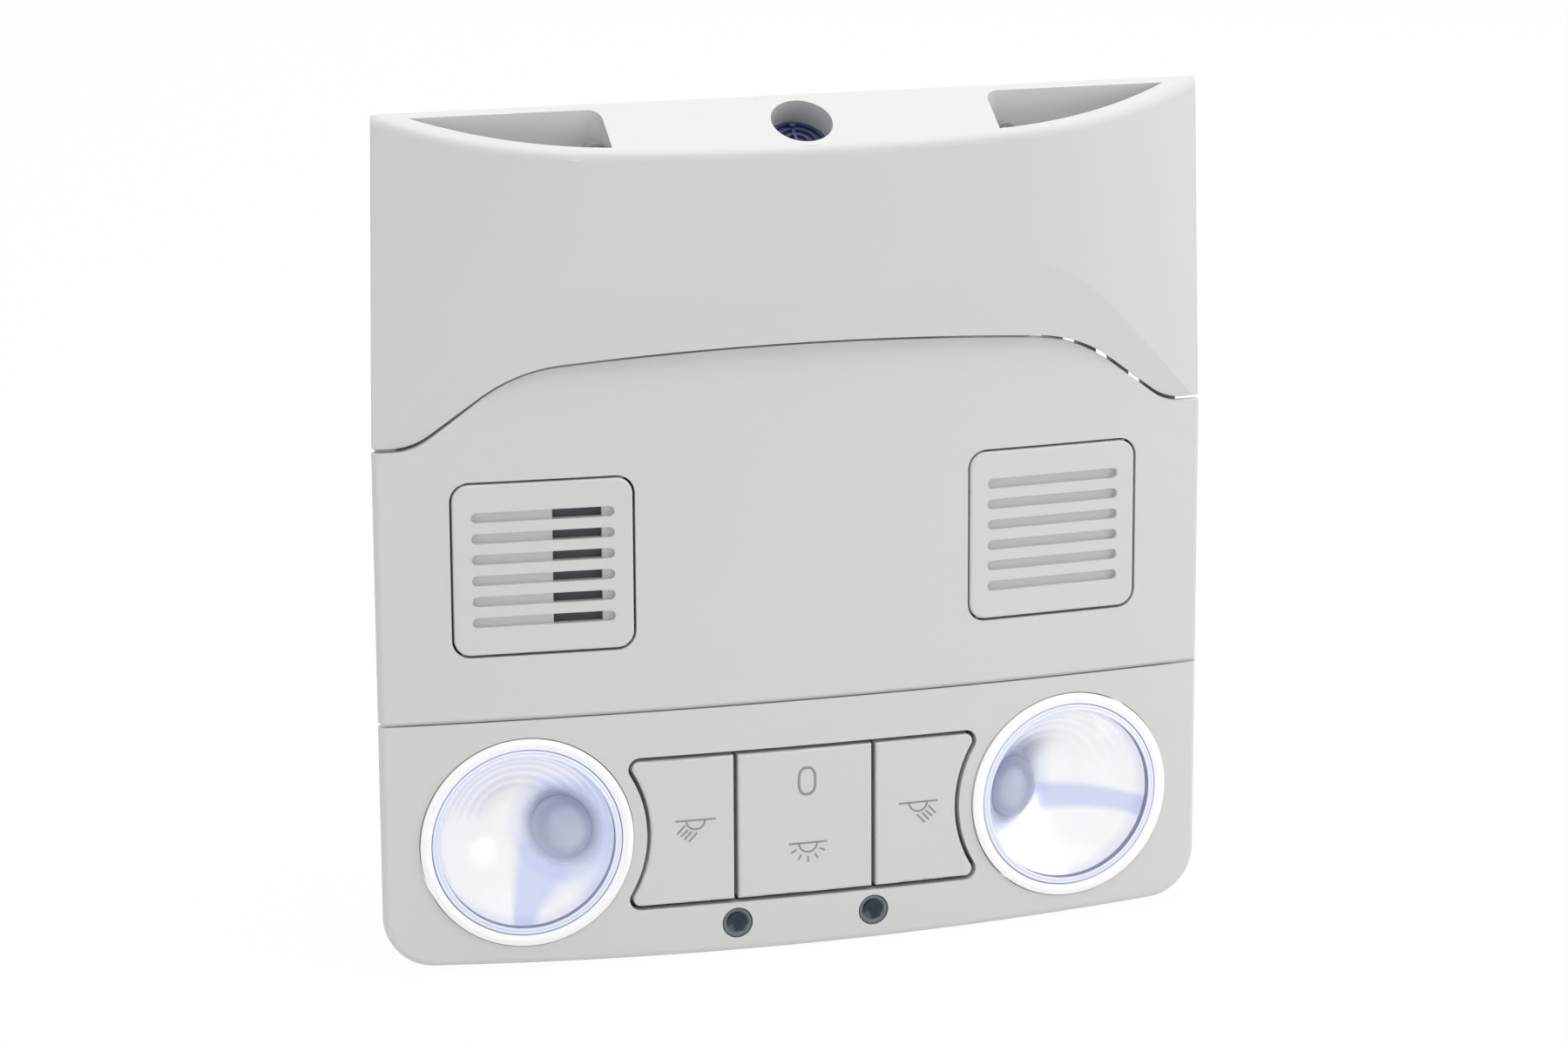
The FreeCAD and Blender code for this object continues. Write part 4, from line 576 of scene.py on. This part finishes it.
def zero_path(centre, width, height, count=96):
    """Upright superellipse with exponent 2.6, from its top round to its top."""
    angle = np.linspace(0, 2 * math.pi, count) + math.pi / 2
    power = 2 / 2.6
    x = np.sign(np.cos(angle)) * np.abs(np.cos(angle)) ** power
    z = np.sign(np.sin(angle)) * np.abs(np.sin(angle)) ** power
    return np.stack([centre[0] + width / 2 * x, centre[1] + height / 2 * z], axis=1)


def add_strokes(name, strokes):
    """One object of several strokes, each closed by its two end faces."""
    vertices, faces, start = [], [], 0
    for rows in strokes:
        count = len(rows)
        vertices.append(rows.reshape(-1, 3))
        faces += grid_faces(count, 4, wrap_columns=True, start=start)
        last = start + (count - 1) * 4
        faces += [[start + 3, start + 2, start + 1, start], [last, last + 1, last + 2, last + 3]]
        start += count * 4
    return add_mesh(name, np.vstack(vertices), faces, smooth=False)


def strip(low, high, front, back, start, stop, count=120):
    """Strip along X: a box profile between two heights and two depths behind the face's cylinder."""
    x = np.linspace(start, stop, count)
    corners = [(low, front), (high, front), (high, back), (low, back)]
    rows = [np.stack([x, face_depth(x, -depth), np.full_like(x, z)], axis=1) for z, depth in corners]
    return np.stack(rows, axis=1)


def lamp_sign(place, half_line, dome_radius, rays):
    """Lamp seen from the side: a line for the roof, a half circle under it, and rays."""
    x, z = place
    paths = [straight((x - half_line, z), (x + half_line, z)), arc((x, z), dome_radius, 180, 360)]
    return paths + [straight(start, stop) for start, stop in rays]


def slanted_rays(place, side):
    """Four slanted rays under a lamp sign, downwards and outwards, mirrored by the side."""
    starts = np.array([[2.15, -0.95], [1.6, -1.9], [0.85, -2.3], [-0.28, -2.62]]) * MM
    stops = np.array([[3.75, -2.65], [3.0, -3.25], [2.3, -3.9], [1.45, -4.4]]) * MM
    mirror, middle = np.array([side, 1]), np.array(place)
    return list(zip(middle + starts * mirror, middle + stops * mirror))


def fan_rays(place, inner, outer):
    """Five rays that leave a lamp sign in a half circle, between two radii."""
    angle = np.radians([208, 239, 270, 301, 332])
    spread = np.stack([np.cos(angle), np.sin(angle)], axis=1)
    return list(zip(np.array(place) + spread * inner, np.array(place) + spread * outer))


def new_group(name, inputs, outputs):
    """Empty shader group with its sockets; returns the group and its two end nodes."""
    group = bpy.data.node_groups.new(name, "ShaderNodeTree")
    for label, kind, default in inputs:
        socket = group.interface.new_socket(label, in_out="INPUT", socket_type=kind)
        if default is not None:
            socket.default_value = default
    for label, kind in outputs:
        group.interface.new_socket(label, in_out="OUTPUT", socket_type=kind)
    return group, group.nodes.new("NodeGroupInput"), group.nodes.new("NodeGroupOutput")


def math_node(tree, operation, first, second):
    """Math node fed by sockets or numbers."""
    made = tree.nodes.new("ShaderNodeMath")
    made.operation = operation
    for socket, value in zip(made.inputs, (first, second)):
        if isinstance(value, (int, float)):
            socket.default_value = value
        else:
            tree.links.new(value, socket)
    return made.outputs[0]


def seen_directly(tree):
    """1 for what the camera, gloss or glass sees, and 0 for light that falls on a surface."""
    path = tree.nodes.new("ShaderNodeLightPath")
    indirect = math_node(tree, "MAXIMUM", path.outputs["Is Glossy Ray"], path.outputs["Is Transmission Ray"])
    return math_node(tree, "MAXIMUM", path.outputs["Is Camera Ray"], indirect)


def moulded_surface_group():
    """Fine grain, slow colour drift and uneven gloss of a moulded or drawn surface."""
    group, entry, leave = new_group(
        "Moulded surface",
        [("Vector", "NodeSocketVector", None), ("Color", "NodeSocketColor", (0.6, 0.6, 0.6, 1)),
         ("Roughness", "NodeSocketFloat", 0.5), ("Grain size", "NodeSocketFloat", 1800.0),
         ("Drift", "NodeSocketFloat", 0.04), ("Gloss spread", "NodeSocketFloat", 0.06)],
        [("Color", "NodeSocketColor"), ("Roughness", "NodeSocketFloat"), ("Height", "NodeSocketFloat")])
    noise = {}
    for label, detail in (("grain", 3.0), ("drift", 2.0), ("gloss", 4.0)):
        made = group.nodes.new("ShaderNodeTexNoise")
        made.inputs["Detail"].default_value = detail
        group.links.new(entry.outputs["Vector"], made.inputs["Vector"])
        noise[label] = made
    group.links.new(entry.outputs["Grain size"], noise["grain"].inputs["Scale"])
    noise["drift"].inputs["Scale"].default_value = 22.0
    noise["gloss"].inputs["Scale"].default_value = 140.0
    slow = math_node(group, "SUBTRACT", noise["drift"].outputs["Fac"], 0.5)
    fine = math_node(group, "SUBTRACT", noise["grain"].outputs["Fac"], 0.5)
    both = math_node(group, "ADD", slow, math_node(group, "MULTIPLY", fine, 0.6))
    shade = math_node(group, "MULTIPLY", both, entry.outputs["Drift"])
    tone = math_node(group, "ADD", math_node(group, "MULTIPLY", shade, 2.0), 1.0)
    scale = group.nodes.new("ShaderNodeVectorMath")
    scale.operation = "SCALE"
    group.links.new(entry.outputs["Color"], scale.inputs[0])
    group.links.new(tone, scale.inputs["Scale"])
    group.links.new(scale.outputs["Vector"], leave.inputs["Color"])
    uneven = math_node(group, "SUBTRACT", noise["gloss"].outputs["Fac"], 0.5)
    spread = math_node(group, "MULTIPLY", uneven, entry.outputs["Gloss spread"])
    group.links.new(math_node(group, "ADD", entry.outputs["Roughness"], spread), leave.inputs["Roughness"])
    group.links.new(noise["grain"].outputs["Fac"], leave.inputs["Height"])
    return group


def weave_group():
    """Height of a plain weave: the product of two crossed rows of sine waves, from 0 to 1."""
    group, entry, leave = new_group(
        "Plain weave", [("Vector", "NodeSocketVector", None), ("Threads", "NodeSocketFloat", 2600.0)],
        [("Height", "NodeSocketFloat")])
    split = group.nodes.new("ShaderNodeSeparateXYZ")
    group.links.new(entry.outputs["Vector"], split.inputs[0])
    waves = []
    for axis in ("X", "Z"):
        phase = math_node(group, "MULTIPLY", split.outputs[axis], entry.outputs["Threads"])
        waves.append(math_node(group, "SINE", math_node(group, "MULTIPLY", phase, 2 * math.pi), 0.0))
    crossed = math_node(group, "MULTIPLY", waves[0], waves[1])
    height = math_node(group, "ADD", math_node(group, "MULTIPLY", crossed, 0.5), 0.5)
    group.links.new(height, leave.inputs["Height"])
    return group


def new_material(name):
    """Material with a Principled shader; returns it, its tree, the shader and the Object coordinates."""
    material = bpy.data.materials.new(name)
    material.use_nodes = True
    tree = material.node_tree
    shader = tree.nodes["Principled BSDF"]
    coordinates = tree.nodes.new("ShaderNodeTexCoord").outputs["Object"]
    return material, tree, shader, coordinates


def add_bump(tree, shader, height, strength, distance):
    """Bump from a height to the shader's normal."""
    bump = tree.nodes.new("ShaderNodeBump")
    bump.inputs["Strength"].default_value = strength
    bump.inputs["Distance"].default_value = distance
    tree.links.new(height, bump.inputs["Height"])
    tree.links.new(bump.outputs["Normal"], shader.inputs["Normal"])


def finish(name, surface, color, roughness, grain=1800.0, drift=0.04, spread=0.06, bump=0.25, depth=0.00003,
           stretch=(1, 1, 1), **sockets):
    """Material that takes colour, roughness and bump from the moulded surface group, with its own values."""
    material, tree, shader, coordinates = new_material(name)
    mapping = tree.nodes.new("ShaderNodeMapping")
    mapping.inputs["Scale"].default_value = stretch
    tree.links.new(coordinates, mapping.inputs["Vector"])
    group = tree.nodes.new("ShaderNodeGroup")
    group.node_tree = surface
    tree.links.new(mapping.outputs["Vector"], group.inputs["Vector"])
    group.inputs["Color"].default_value = (*color, 1)
    group.inputs["Roughness"].default_value = roughness
    group.inputs["Grain size"].default_value = grain
    group.inputs["Drift"].default_value = drift
    group.inputs["Gloss spread"].default_value = spread
    tree.links.new(group.outputs["Color"], shader.inputs["Base Color"])
    tree.links.new(group.outputs["Roughness"], shader.inputs["Roughness"])
    add_bump(tree, shader, group.outputs["Height"], bump, depth)
    for label, value in sockets.items():
        shader.inputs[label.replace("_", " ").title().replace("Ior", "IOR")].default_value = value
    return material


def tint_by_value(material, name, tint):
    """Blend the colour of a finish to a tint by a value that the mesh keeps."""
    tree = material.node_tree
    blend = tree.nodes.new("ShaderNodeMixRGB")
    share = tree.nodes.new("ShaderNodeAttribute")
    share.attribute_name = name
    colour = tree.nodes["Principled BSDF"].inputs["Base Color"]
    tree.links.new(share.outputs["Fac"], blend.inputs["Fac"])
    tree.links.new(colour.links[0].from_socket, blend.inputs["Color1"])
    blend.inputs["Color2"].default_value = (*tint, 1)
    tree.links.new(blend.outputs["Color"], colour)


def clear_finish(name, surface, color, roughness, ior, grain=700.0):
    """Glass or clear plastic of one colour, with an uneven gloss and a faint waviness."""
    material, tree, shader, coordinates = new_material(name)
    group = tree.nodes.new("ShaderNodeGroup")
    group.node_tree = surface
    tree.links.new(coordinates, group.inputs["Vector"])
    group.inputs["Roughness"].default_value = roughness
    group.inputs["Grain size"].default_value = grain
    group.inputs["Gloss spread"].default_value = roughness
    tree.links.new(group.outputs["Roughness"], shader.inputs["Roughness"])
    add_bump(tree, shader, group.outputs["Height"], 0.03, 0.00003)
    shader.inputs["Base Color"].default_value = (*color, 1)
    shader.inputs["IOR"].default_value = ior
    shader.inputs["Transmission Weight"].default_value = 1.0
    return material


def dress(node, material):
    """Give a CAD node one material."""
    slots = frame["nodes"][node].data.materials
    slots.clear()
    slots.append(material)


class COURTESY_OT_finishes(bpy.types.Operator):
    """Make the finishes and give them to the solids"""

    bl_idname = "courtesy.finishes"
    bl_label = "Finishes"

    def execute(self, context):
        colours = context.scene.courtesy_colours
        surface = moulded_surface_group()
        made = {
            "trim": finish("Grained trim", surface, colours.trim, 0.5, grain=2400, drift=0.018, spread=0.08,
                           bump=0.3, depth=0.00002, coat_weight=0.05, coat_roughness=0.4),
            "lamp_ring": finish("Bright ring", surface, colours.ring, 0.22, grain=900, drift=0.01, bump=0.05,
                                coat_weight=0.3, coat_roughness=0.1),
            "reflector": finish("Metallised plastic", surface, colours.mirror, 0.3, grain=500, drift=0.02,
                                spread=0.05, bump=0.05, metallic=1.0),
            "sensor": finish("Blue sensor plastic", surface, (0.05, 0.065, 0.16), 0.38, grain=2000,
                             drift=0.12),
            "foam": finish("Foam", surface, (0.03, 0.03, 0.033), 0.95, grain=3000, drift=0.5, bump=0.9,
                           depth=0.0002),
            "capsule": finish("Drawn aluminium", surface, (0.62, 0.62, 0.64), 0.3, grain=1200, drift=0.06,
                              stretch=(1, 0.08, 1), metallic=1.0),
            "switch_body": finish("Switch black", surface, (0.035, 0.035, 0.037), 0.42, grain=1500,
                                  drift=0.15),
            "inner_moulding": finish("Black moulding", surface, (0.045, 0.045, 0.048), 0.55, grain=1400,
                                     drift=0.16, bump=0.4, depth=0.00004),
            "carrier": finish("Grey moulding", surface, (0.32, 0.32, 0.318), 0.55, grain=1400, drift=0.08,
                              bump=0.35, depth=0.00004),
            "screw": finish("Zinc plate", surface, (0.58, 0.57, 0.53), 0.34, grain=1600, drift=0.12,
                            spread=0.15, metallic=1.0),
            "board": finish("Solder mask", surface, (0.02, 0.13, 0.05), 0.3, grain=420, drift=0.35, bump=0.5,
                            stretch=(1, 1, 0.12), coat_weight=0.4, coat_roughness=0.15),
            "ambient_lamp": finish("Lamp resin", surface, (0.86, 0.8, 0.55), 0.3, drift=0.05),
            "connector": finish("Ivory nylon", surface, (0.66, 0.62, 0.5), 0.45, grain=1100, drift=0.05),
            "contact": finish("Tinned brass", surface, (0.78, 0.66, 0.4), 0.25, drift=0.1, metallic=1.0),
            "clip": finish("Spring steel", surface, (0.52, 0.52, 0.54), 0.3, grain=900, drift=0.12,
                           spread=0.16, stretch=(1, 1, 0.06), metallic=1.0),
        }
        # The solids of the lenses, bulbs and windows are replaced by pieces with finishes of their own.
        made["lens"] = made["bulb"] = made["ambient_window"] = made["trim"]
        for part in frame["record"]["subparts"]:
            dress(part["node"], made[part["material_slot"]])
        holder = finish("Bulb holder grey", surface, (0.4, 0.41, 0.55), 0.5, grain=1300, drift=0.08)
        for side in SIDES:
            dress(f"bulb_holder_{side}", holder)
        dress("switch_frame", made["trim"])
        return {"FINISHED"}


class COURTESY_OT_lenses(bpy.types.Operator):
    """Make the two domed lenses"""

    bl_idname = "courtesy.lenses"
    bl_label = "Lenses"

    def execute(self, context):
        lamp = context.scene.courtesy_lamps
        surface = bpy.data.node_groups["Moulded surface"]
        colours = context.scene.courtesy_colours
        clear = clear_finish("Clear lens", surface, colours.lens, 0.03, 1.49)
        frosted = finish("Frosted lens edge", surface, (0.93, 0.93, 0.97), 0.3, grain=900, drift=0.03,
                         spread=0.1, bump=0.08, coat_weight=0.6, coat_roughness=0.06)
        tint_by_value(frosted, "violet", colours.lens_edge)
        for side, sign in SIDES.items():
            vertices, faces = lens_surface(lamp)
            x = sign * lamp.spacing / 2
            lens = add_mesh(f"reading_lens_{side}", on_face(vertices, x, lamp.level), faces)
            store_values(lens, "violet", lens_tint(off_face(mesh_points(lens), x, lamp.level), lamp))
            lens.data.materials.append(clear)
            lens.data.materials.append(frosted)
            centres = np.empty(len(lens.data.polygons) * 3, np.float32)
            lens.data.polygons.foreach_get("center", centres)
            own = off_face(centres.reshape(-1, 3).astype(float), x, lamp.level)
            edge = np.hypot(own[:, 0], own[:, 2]) > lamp.bowl_radius
            lens.data.polygons.foreach_set("material_index", edge.astype(np.int32))
            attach(lens, "housing")
            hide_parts(f"lens_{side}")
        return {"FINISHED"}


class COURTESY_OT_mirrors(bpy.types.Operator):
    """Make the ribbed mirror skins of the two bowls"""

    bl_idname = "courtesy.mirrors"
    bl_label = "Mirror bowls"

    def execute(self, context):
        lamp = context.scene.courtesy_lamps
        mirror = self.make_mirror(context.scene.courtesy_colours)
        for side, sign in SIDES.items():
            vertices, faces = mirror_surface(lamp, sign)
            x = sign * lamp.spacing / 2
            skin = add_mesh(f"mirror_skin_{side}", on_face(vertices, x, lamp.level), faces)
            skin.data.flip_normals()
            own = off_face(mesh_points(skin), x, lamp.level)
            # Painted violet reflections on the mirror skin.
            store_values(skin, "violet", painted_mirror_reflection(own, lamp, sign))
            # Painted shade round the bulb's foot.
            store_values(skin, "shade", painted_mirror_shade(own, lamp, sign))
            skin.data.normals_split_custom_set_from_vertices(mirror_normals(own, lamp, sign, x).tolist())
            skin.data.materials.append(mirror)
            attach(skin, "housing")
        return {"FINISHED"}

    def make_mirror(self, colours):
        """Hazy metallised finish with painted violet reflections, and painted shade, dull and dark, round the
        bulb's foot, where the mesh says so.
        """
        surface = bpy.data.node_groups["Moulded surface"]
        material = finish("Mirror skin", surface, colours.mirror, 0.25, grain=500, drift=0.02, bump=0.05)
        tint_by_value(material, "violet", colours.violet)
        # Painted shade round the bulb's foot: the port colour, and less metal.
        tint_by_value(material, "shade", colours.port)
        tree = material.node_tree
        shade = tree.nodes.new("ShaderNodeAttribute")
        shade.attribute_name = "shade"
        metal = math_node(tree, "SUBTRACT", 1.0, shade.outputs["Fac"])
        tree.links.new(metal, tree.nodes["Principled BSDF"].inputs["Metallic"])
        return material


class COURTESY_OT_bulbs(bpy.types.Operator):
    """Make the round glass of the two bulbs"""

    bl_idname = "courtesy.bulbs"
    bl_label = "Bulbs"

    def execute(self, context):
        lamp = context.scene.courtesy_lamps
        surface = bpy.data.node_groups["Moulded surface"]
        colours = context.scene.courtesy_colours
        coated = finish("Coated bulb glass", surface, colours.bulb, 0.35, grain=300, drift=0.12, bump=0.03,
                        coat_weight=1.0, coat_roughness=0.04)
        # Painted light: the bulb grows paler downwards and towards the middle.
        tint_by_value(coated, "pale", colours.bulb_painted_light)
        for side, sign in SIDES.items():
            vertices, faces = bulb_surface(lamp, sign)
            x = sign * lamp.spacing / 2
            bulb = add_mesh(f"bulb_glass_{side}", on_face(vertices, x, lamp.level), faces)
            store_values(bulb, "pale", painted_bulb_light(off_face(mesh_points(bulb), x, lamp.level), lamp, sign))
            bulb.data.materials.append(coated)
            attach(bulb, "housing")
            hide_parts(f"bulb_{side}")
        return {"FINISHED"}


class COURTESY_OT_signs(bpy.types.Operator):
    """Print the signs on the switches"""

    bl_idname = "courtesy.signs"
    bl_label = "Signs"

    def execute(self, context):
        sizes = context.scene.courtesy_signs
        surface = bpy.data.node_groups["Moulded surface"]
        ink = finish("Grey print", surface, context.scene.courtesy_colours.sign, 0.55, grain=3000, drift=0.1)
        signs = {}
        for side, place in (("left", sizes.left), ("right", sizes.right)):
            paths = lamp_sign(place, sizes.button_roof, sizes.dome, slanted_rays(place, SIDES[side]))
            signs[f"sign_{side}"] = f"button_{side}", paths, sizes.line
        rays = fan_rays(sizes.middle, sizes.ray_inner, sizes.ray_outer)
        paths = lamp_sign(sizes.middle, sizes.rocker_roof, sizes.dome, rays)
        signs["sign_middle"] = "rocker", paths, sizes.line
        zero = zero_path(sizes.zero, sizes.zero_width, sizes.zero_height)
        signs["sign_zero"] = "rocker", [zero], sizes.zero_line
        for name, (body, paths, width) in signs.items():
            piece = add_strokes(name, [stroke(path, width, sizes.proud) for path in paths])
            piece.data.materials.append(ink)
            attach(piece, body)
        return {"FINISHED"}


class COURTESY_OT_seam(bpy.types.Operator):
    """Make the panel's tongue behind its seam with the bezel, and its lip at the cover's left foot"""

    bl_idname = "courtesy.seam"
    bl_label = "Seam"

    def execute(self, context):
        sizes = context.scene.courtesy_seam
        seam = strip(sizes.low, sizes.high, sizes.front, sizes.back, -sizes.half, sizes.half)
        lip = strip(sizes.lip_low, sizes.lip_high, sizes.lip_front, sizes.lip_back,
                    sizes.lip_start, sizes.lip_stop)
        tongue = add_strokes("panel_tongue", [seam, lip])
        tongue.data.materials.append(bpy.data.materials["Grained trim"])
        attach(tongue, "housing")
        return {"FINISHED"}


class COURTESY_OT_windows(bpy.types.Operator):
    """Make the two small dished windows below the switches"""

    bl_idname = "courtesy.windows"
    bl_label = "Windows"

    def execute(self, context):
        sizes = context.scene.courtesy_windows
        surface = bpy.data.node_groups["Moulded surface"]
        colours = context.scene.courtesy_colours
        teal = finish("Dark teal resin", surface, colours.window, 0.2, grain=900, drift=0.1, bump=0.05,
                      coat_weight=0.2, coat_roughness=0.05, specular_ior_level=0.3)
        tint_by_value(teal, "lip", colours.window_lip)
        for side, sign in SIDES.items():
            x = sign * sizes.spacing / 2
            stem_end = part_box(f"led_window_{side}")[1].y - face_depth(x)
            dish_radius = np.linspace(0, sizes.dish_radius, 20)
            hollow = sizes.dish_depth * (1 - (dish_radius / sizes.dish_radius) ** 2)
            dish = np.stack([dish_radius, sizes.recess + hollow], axis=1)
            lip = sizes.recess / 2
            head = [(sizes.dish_radius * 1.04, lip), (sizes.radius, lip), (sizes.radius, sizes.head_end)]
            stem = [(sizes.stem_radius, sizes.stem_start), (sizes.stem_radius, stem_end), (0.0, stem_end)]
            rim = rounded_profile([dish[-1], *head, *stem], 0.12 * MM)
            grid = turned(np.vstack([dish, rim[1:]]), 64)
            window = add_mesh(f"lamp_window_{side}", on_face(grid.reshape(-1, 3), x, sizes.level),
                              grid_faces(*grid.shape[:2], wrap_columns=True))
            own = off_face(mesh_points(window), x, sizes.level)
            out = np.hypot(own[:, 0], own[:, 2]) / sizes.dish_radius
            store_values(window, "lip", smooth_step(out, 0.9, 1.02))
            window.data.materials.append(teal)
            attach(window, "housing")
            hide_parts(f"led_window_{side}")
        return {"FINISHED"}


class COURTESY_OT_shade_cloth(bpy.types.Operator):
    """Make the dark cloth behind the open slots of the left grille, a dark sheet that paints the shade inside
    them
    """

    bl_idname = "courtesy.sound_cloth"
    bl_label = "Sound cloth"

    def execute(self, context):
        sizes = context.scene.courtesy_cloth
        material, tree, shader, coordinates = new_material("Sound cloth")
        weave = tree.nodes.new("ShaderNodeGroup")
        weave.node_tree = weave_group()
        tree.links.new(coordinates, weave.inputs["Vector"])
        ramp = tree.nodes.new("ShaderNodeValToRGB")
        # Dark weave: painted shade seen through the slots.
        ramp.color_ramp.elements[0].color = (0.07, 0.07, 0.08, 1)
        ramp.color_ramp.elements[1].color = (0.14, 0.14, 0.16, 1)
        tree.links.new(weave.outputs["Height"], ramp.inputs["Fac"])
        tree.links.new(ramp.outputs["Color"], shader.inputs["Base Color"])
        shader.inputs["Roughness"].default_value = 0.9
        add_bump(tree, shader, weave.outputs["Height"], 0.6, 0.0001)
        across, upright = np.meshgrid(np.linspace(-sizes.half_width, sizes.half_width, 28),
                                      np.linspace(-sizes.half_height, sizes.half_height, 56))
        layers = [np.stack([across + sizes.offset, np.full_like(across, depth), upright], axis=-1)
                  for depth in (sizes.front, sizes.back)]
        points = np.stack(layers).reshape(-1, 3)
        rows, columns = across.shape
        faces = grid_faces(rows, columns) + grid_faces(rows, columns, start=rows * columns)
        border = np.concatenate([np.arange(columns), np.arange(1, rows) * columns + columns - 1,
                                 (rows - 1) * columns + np.arange(columns - 2, -1, -1),
                                 np.arange(rows - 2, 0, -1) * columns])
        following = np.roll(border, -1)
        offset = rows * columns
        faces += np.stack([border, following, following + offset, border + offset], axis=1).tolist()
        cloth = add_mesh("sound_cloth", on_face(points, sizes.grille, 0.0), faces, smooth=False)
        cloth.data.materials.append(material)
        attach(cloth, "housing")
        return {"FINISHED"}


class COURTESY_OT_stage(bpy.types.Operator):
    """Set the floor, the light and the camera"""

    bl_idname = "courtesy.stage"
    bl_label = "Stage"

    def execute(self, context):
        scene = context.scene
        look = scene.courtesy_stage
        scene.view_settings.view_transform = "Standard"
        scene.cycles.glossy_bounces = 12
        self.add_floor(look)
        self.add_world(scene, look)
        for name, (size, place) in LIGHTS.items():
            self.add_light(name, getattr(look, name), size, place)
        camera = bpy.data.objects.new("photo_camera", bpy.data.cameras.new("photo_camera"))
        camera.data.lens = CAMERA_LENS
        camera.data.sensor_width = 36.0
        camera.data.clip_start = 0.01
        right, top = np.array(CAMERA_RIGHT), np.array(CAMERA_TOP)
        turn = np.stack([right, top, np.cross(right, top)], axis=1)
        camera.matrix_world = Matrix.Translation(CAMERA_PLACE) @ Matrix(turn.tolist()).to_4x4()
        scene.collection.objects.link(camera)
        scene.camera = camera
        return {"FINISHED"}

    def add_floor(self, look):
        """Flat floor under the lowest point; the camera sees it mostly as white, with the shadow kept."""
        level = CAD_BOX[0][2] - look.floor_gap
        across, away = np.meshgrid(np.linspace(-3, 3, 7), np.linspace(-3, 3, 7))
        points = np.stack([across, away, np.full_like(across, level)], axis=-1)
        floor = add_mesh("floor", points.reshape(-1, 3), grid_faces(7, 7), smooth=False)
        material, tree, shader, _ = new_material("Pale floor")
        shader.inputs["Base Color"].default_value = (0.9, 0.9, 0.9, 1)
        shader.inputs["Roughness"].default_value = 0.8
        white = tree.nodes.new("ShaderNodeEmission")
        mix = tree.nodes.new("ShaderNodeMixShader")
        tree.links.new(math_node(tree, "MULTIPLY", seen_directly(tree), look.floor_white), mix.inputs[0])
        tree.links.new(shader.outputs[0], mix.inputs[1])
        tree.links.new(white.outputs[0], mix.inputs[2])
        tree.links.new(mix.outputs[0], tree.nodes["Material Output"].inputs["Surface"])
        floor.data.materials.append(material)

    def add_world(self, scene, look):
        """White for what the camera, gloss and glass see, and a soft level of light for the rest."""
        world = bpy.data.worlds.new("studio")
        scene.world = world
        world.use_nodes = True
        tree = world.node_tree
        background = tree.nodes["Background"]
        lift = math_node(tree, "MULTIPLY", seen_directly(tree), 1.0 - look.ambient)
        tree.links.new(math_node(tree, "ADD", lift, look.ambient), background.inputs["Strength"])
        background.inputs["Color"].default_value = (1, 1, 1, 1)

    def add_light(self, name, power, size, place):
        """Square soft light that looks at the object's middle."""
        data = bpy.data.lights.new(name, "AREA")
        data.energy = power
        data.size = size
        light = bpy.data.objects.new(name, data)
        bpy.context.scene.collection.objects.link(light)
        turn = Vector(place).to_track_quat("Z", "Y").to_matrix().to_4x4()
        light.matrix_world = Matrix.Translation(place) @ turn


OPERATORS = [COURTESY_OT_finishes, COURTESY_OT_lenses, COURTESY_OT_mirrors, COURTESY_OT_bulbs,
             COURTESY_OT_signs, COURTESY_OT_seam, COURTESY_OT_windows, COURTESY_OT_shade_cloth,
             COURTESY_OT_stage]
GROUPS = {"courtesy_lamps": LampSizes, "courtesy_signs": SignSizes, "courtesy_seam": SeamSizes,
          "courtesy_windows": WindowSizes, "courtesy_cloth": ClothSizes, "courtesy_colours": FinishColours,
          "courtesy_stage": StageLook}


class COURTESY_PT_panel(bpy.types.Panel):
    """Buttons for the pieces and the stage"""

    bl_idname = "COURTESY_PT_panel"
    bl_label = "Courtesy Light"
    bl_space_type = "VIEW_3D"
    bl_region_type = "UI"
    bl_category = "Courtesy Light"

    def draw(self, context):
        for operator in OPERATORS:
            self.layout.operator(operator.bl_idname)


def register():
    """Register the settings, the operators and the panel."""
    for group in GROUPS.values():
        bpy.utils.register_class(group)
    for name, group in GROUPS.items():
        setattr(bpy.types.Scene, name, PointerProperty(type=group))
    for operator in [*OPERATORS, COURTESY_PT_panel]:
        bpy.utils.register_class(operator)


def unregister():
    """Take back what register does, in the opposite order."""
    for operator in [COURTESY_PT_panel, *reversed(OPERATORS)]:
        bpy.utils.unregister_class(operator)
    for name in GROUPS:
        delattr(bpy.types.Scene, name)
    for group in reversed(list(GROUPS.values())):
        bpy.utils.unregister_class(group)


def main():
    """Make all pieces and the stage."""
    register()
    bpy.ops.courtesy.finishes()
    bpy.ops.courtesy.lenses()
    bpy.ops.courtesy.mirrors()
    bpy.ops.courtesy.bulbs()
    bpy.ops.courtesy.signs()
    bpy.ops.courtesy.seam()
    bpy.ops.courtesy.windows()
    bpy.ops.courtesy.sound_cloth()
    bpy.ops.courtesy.stage()


if __name__ == "__main__":
    main()
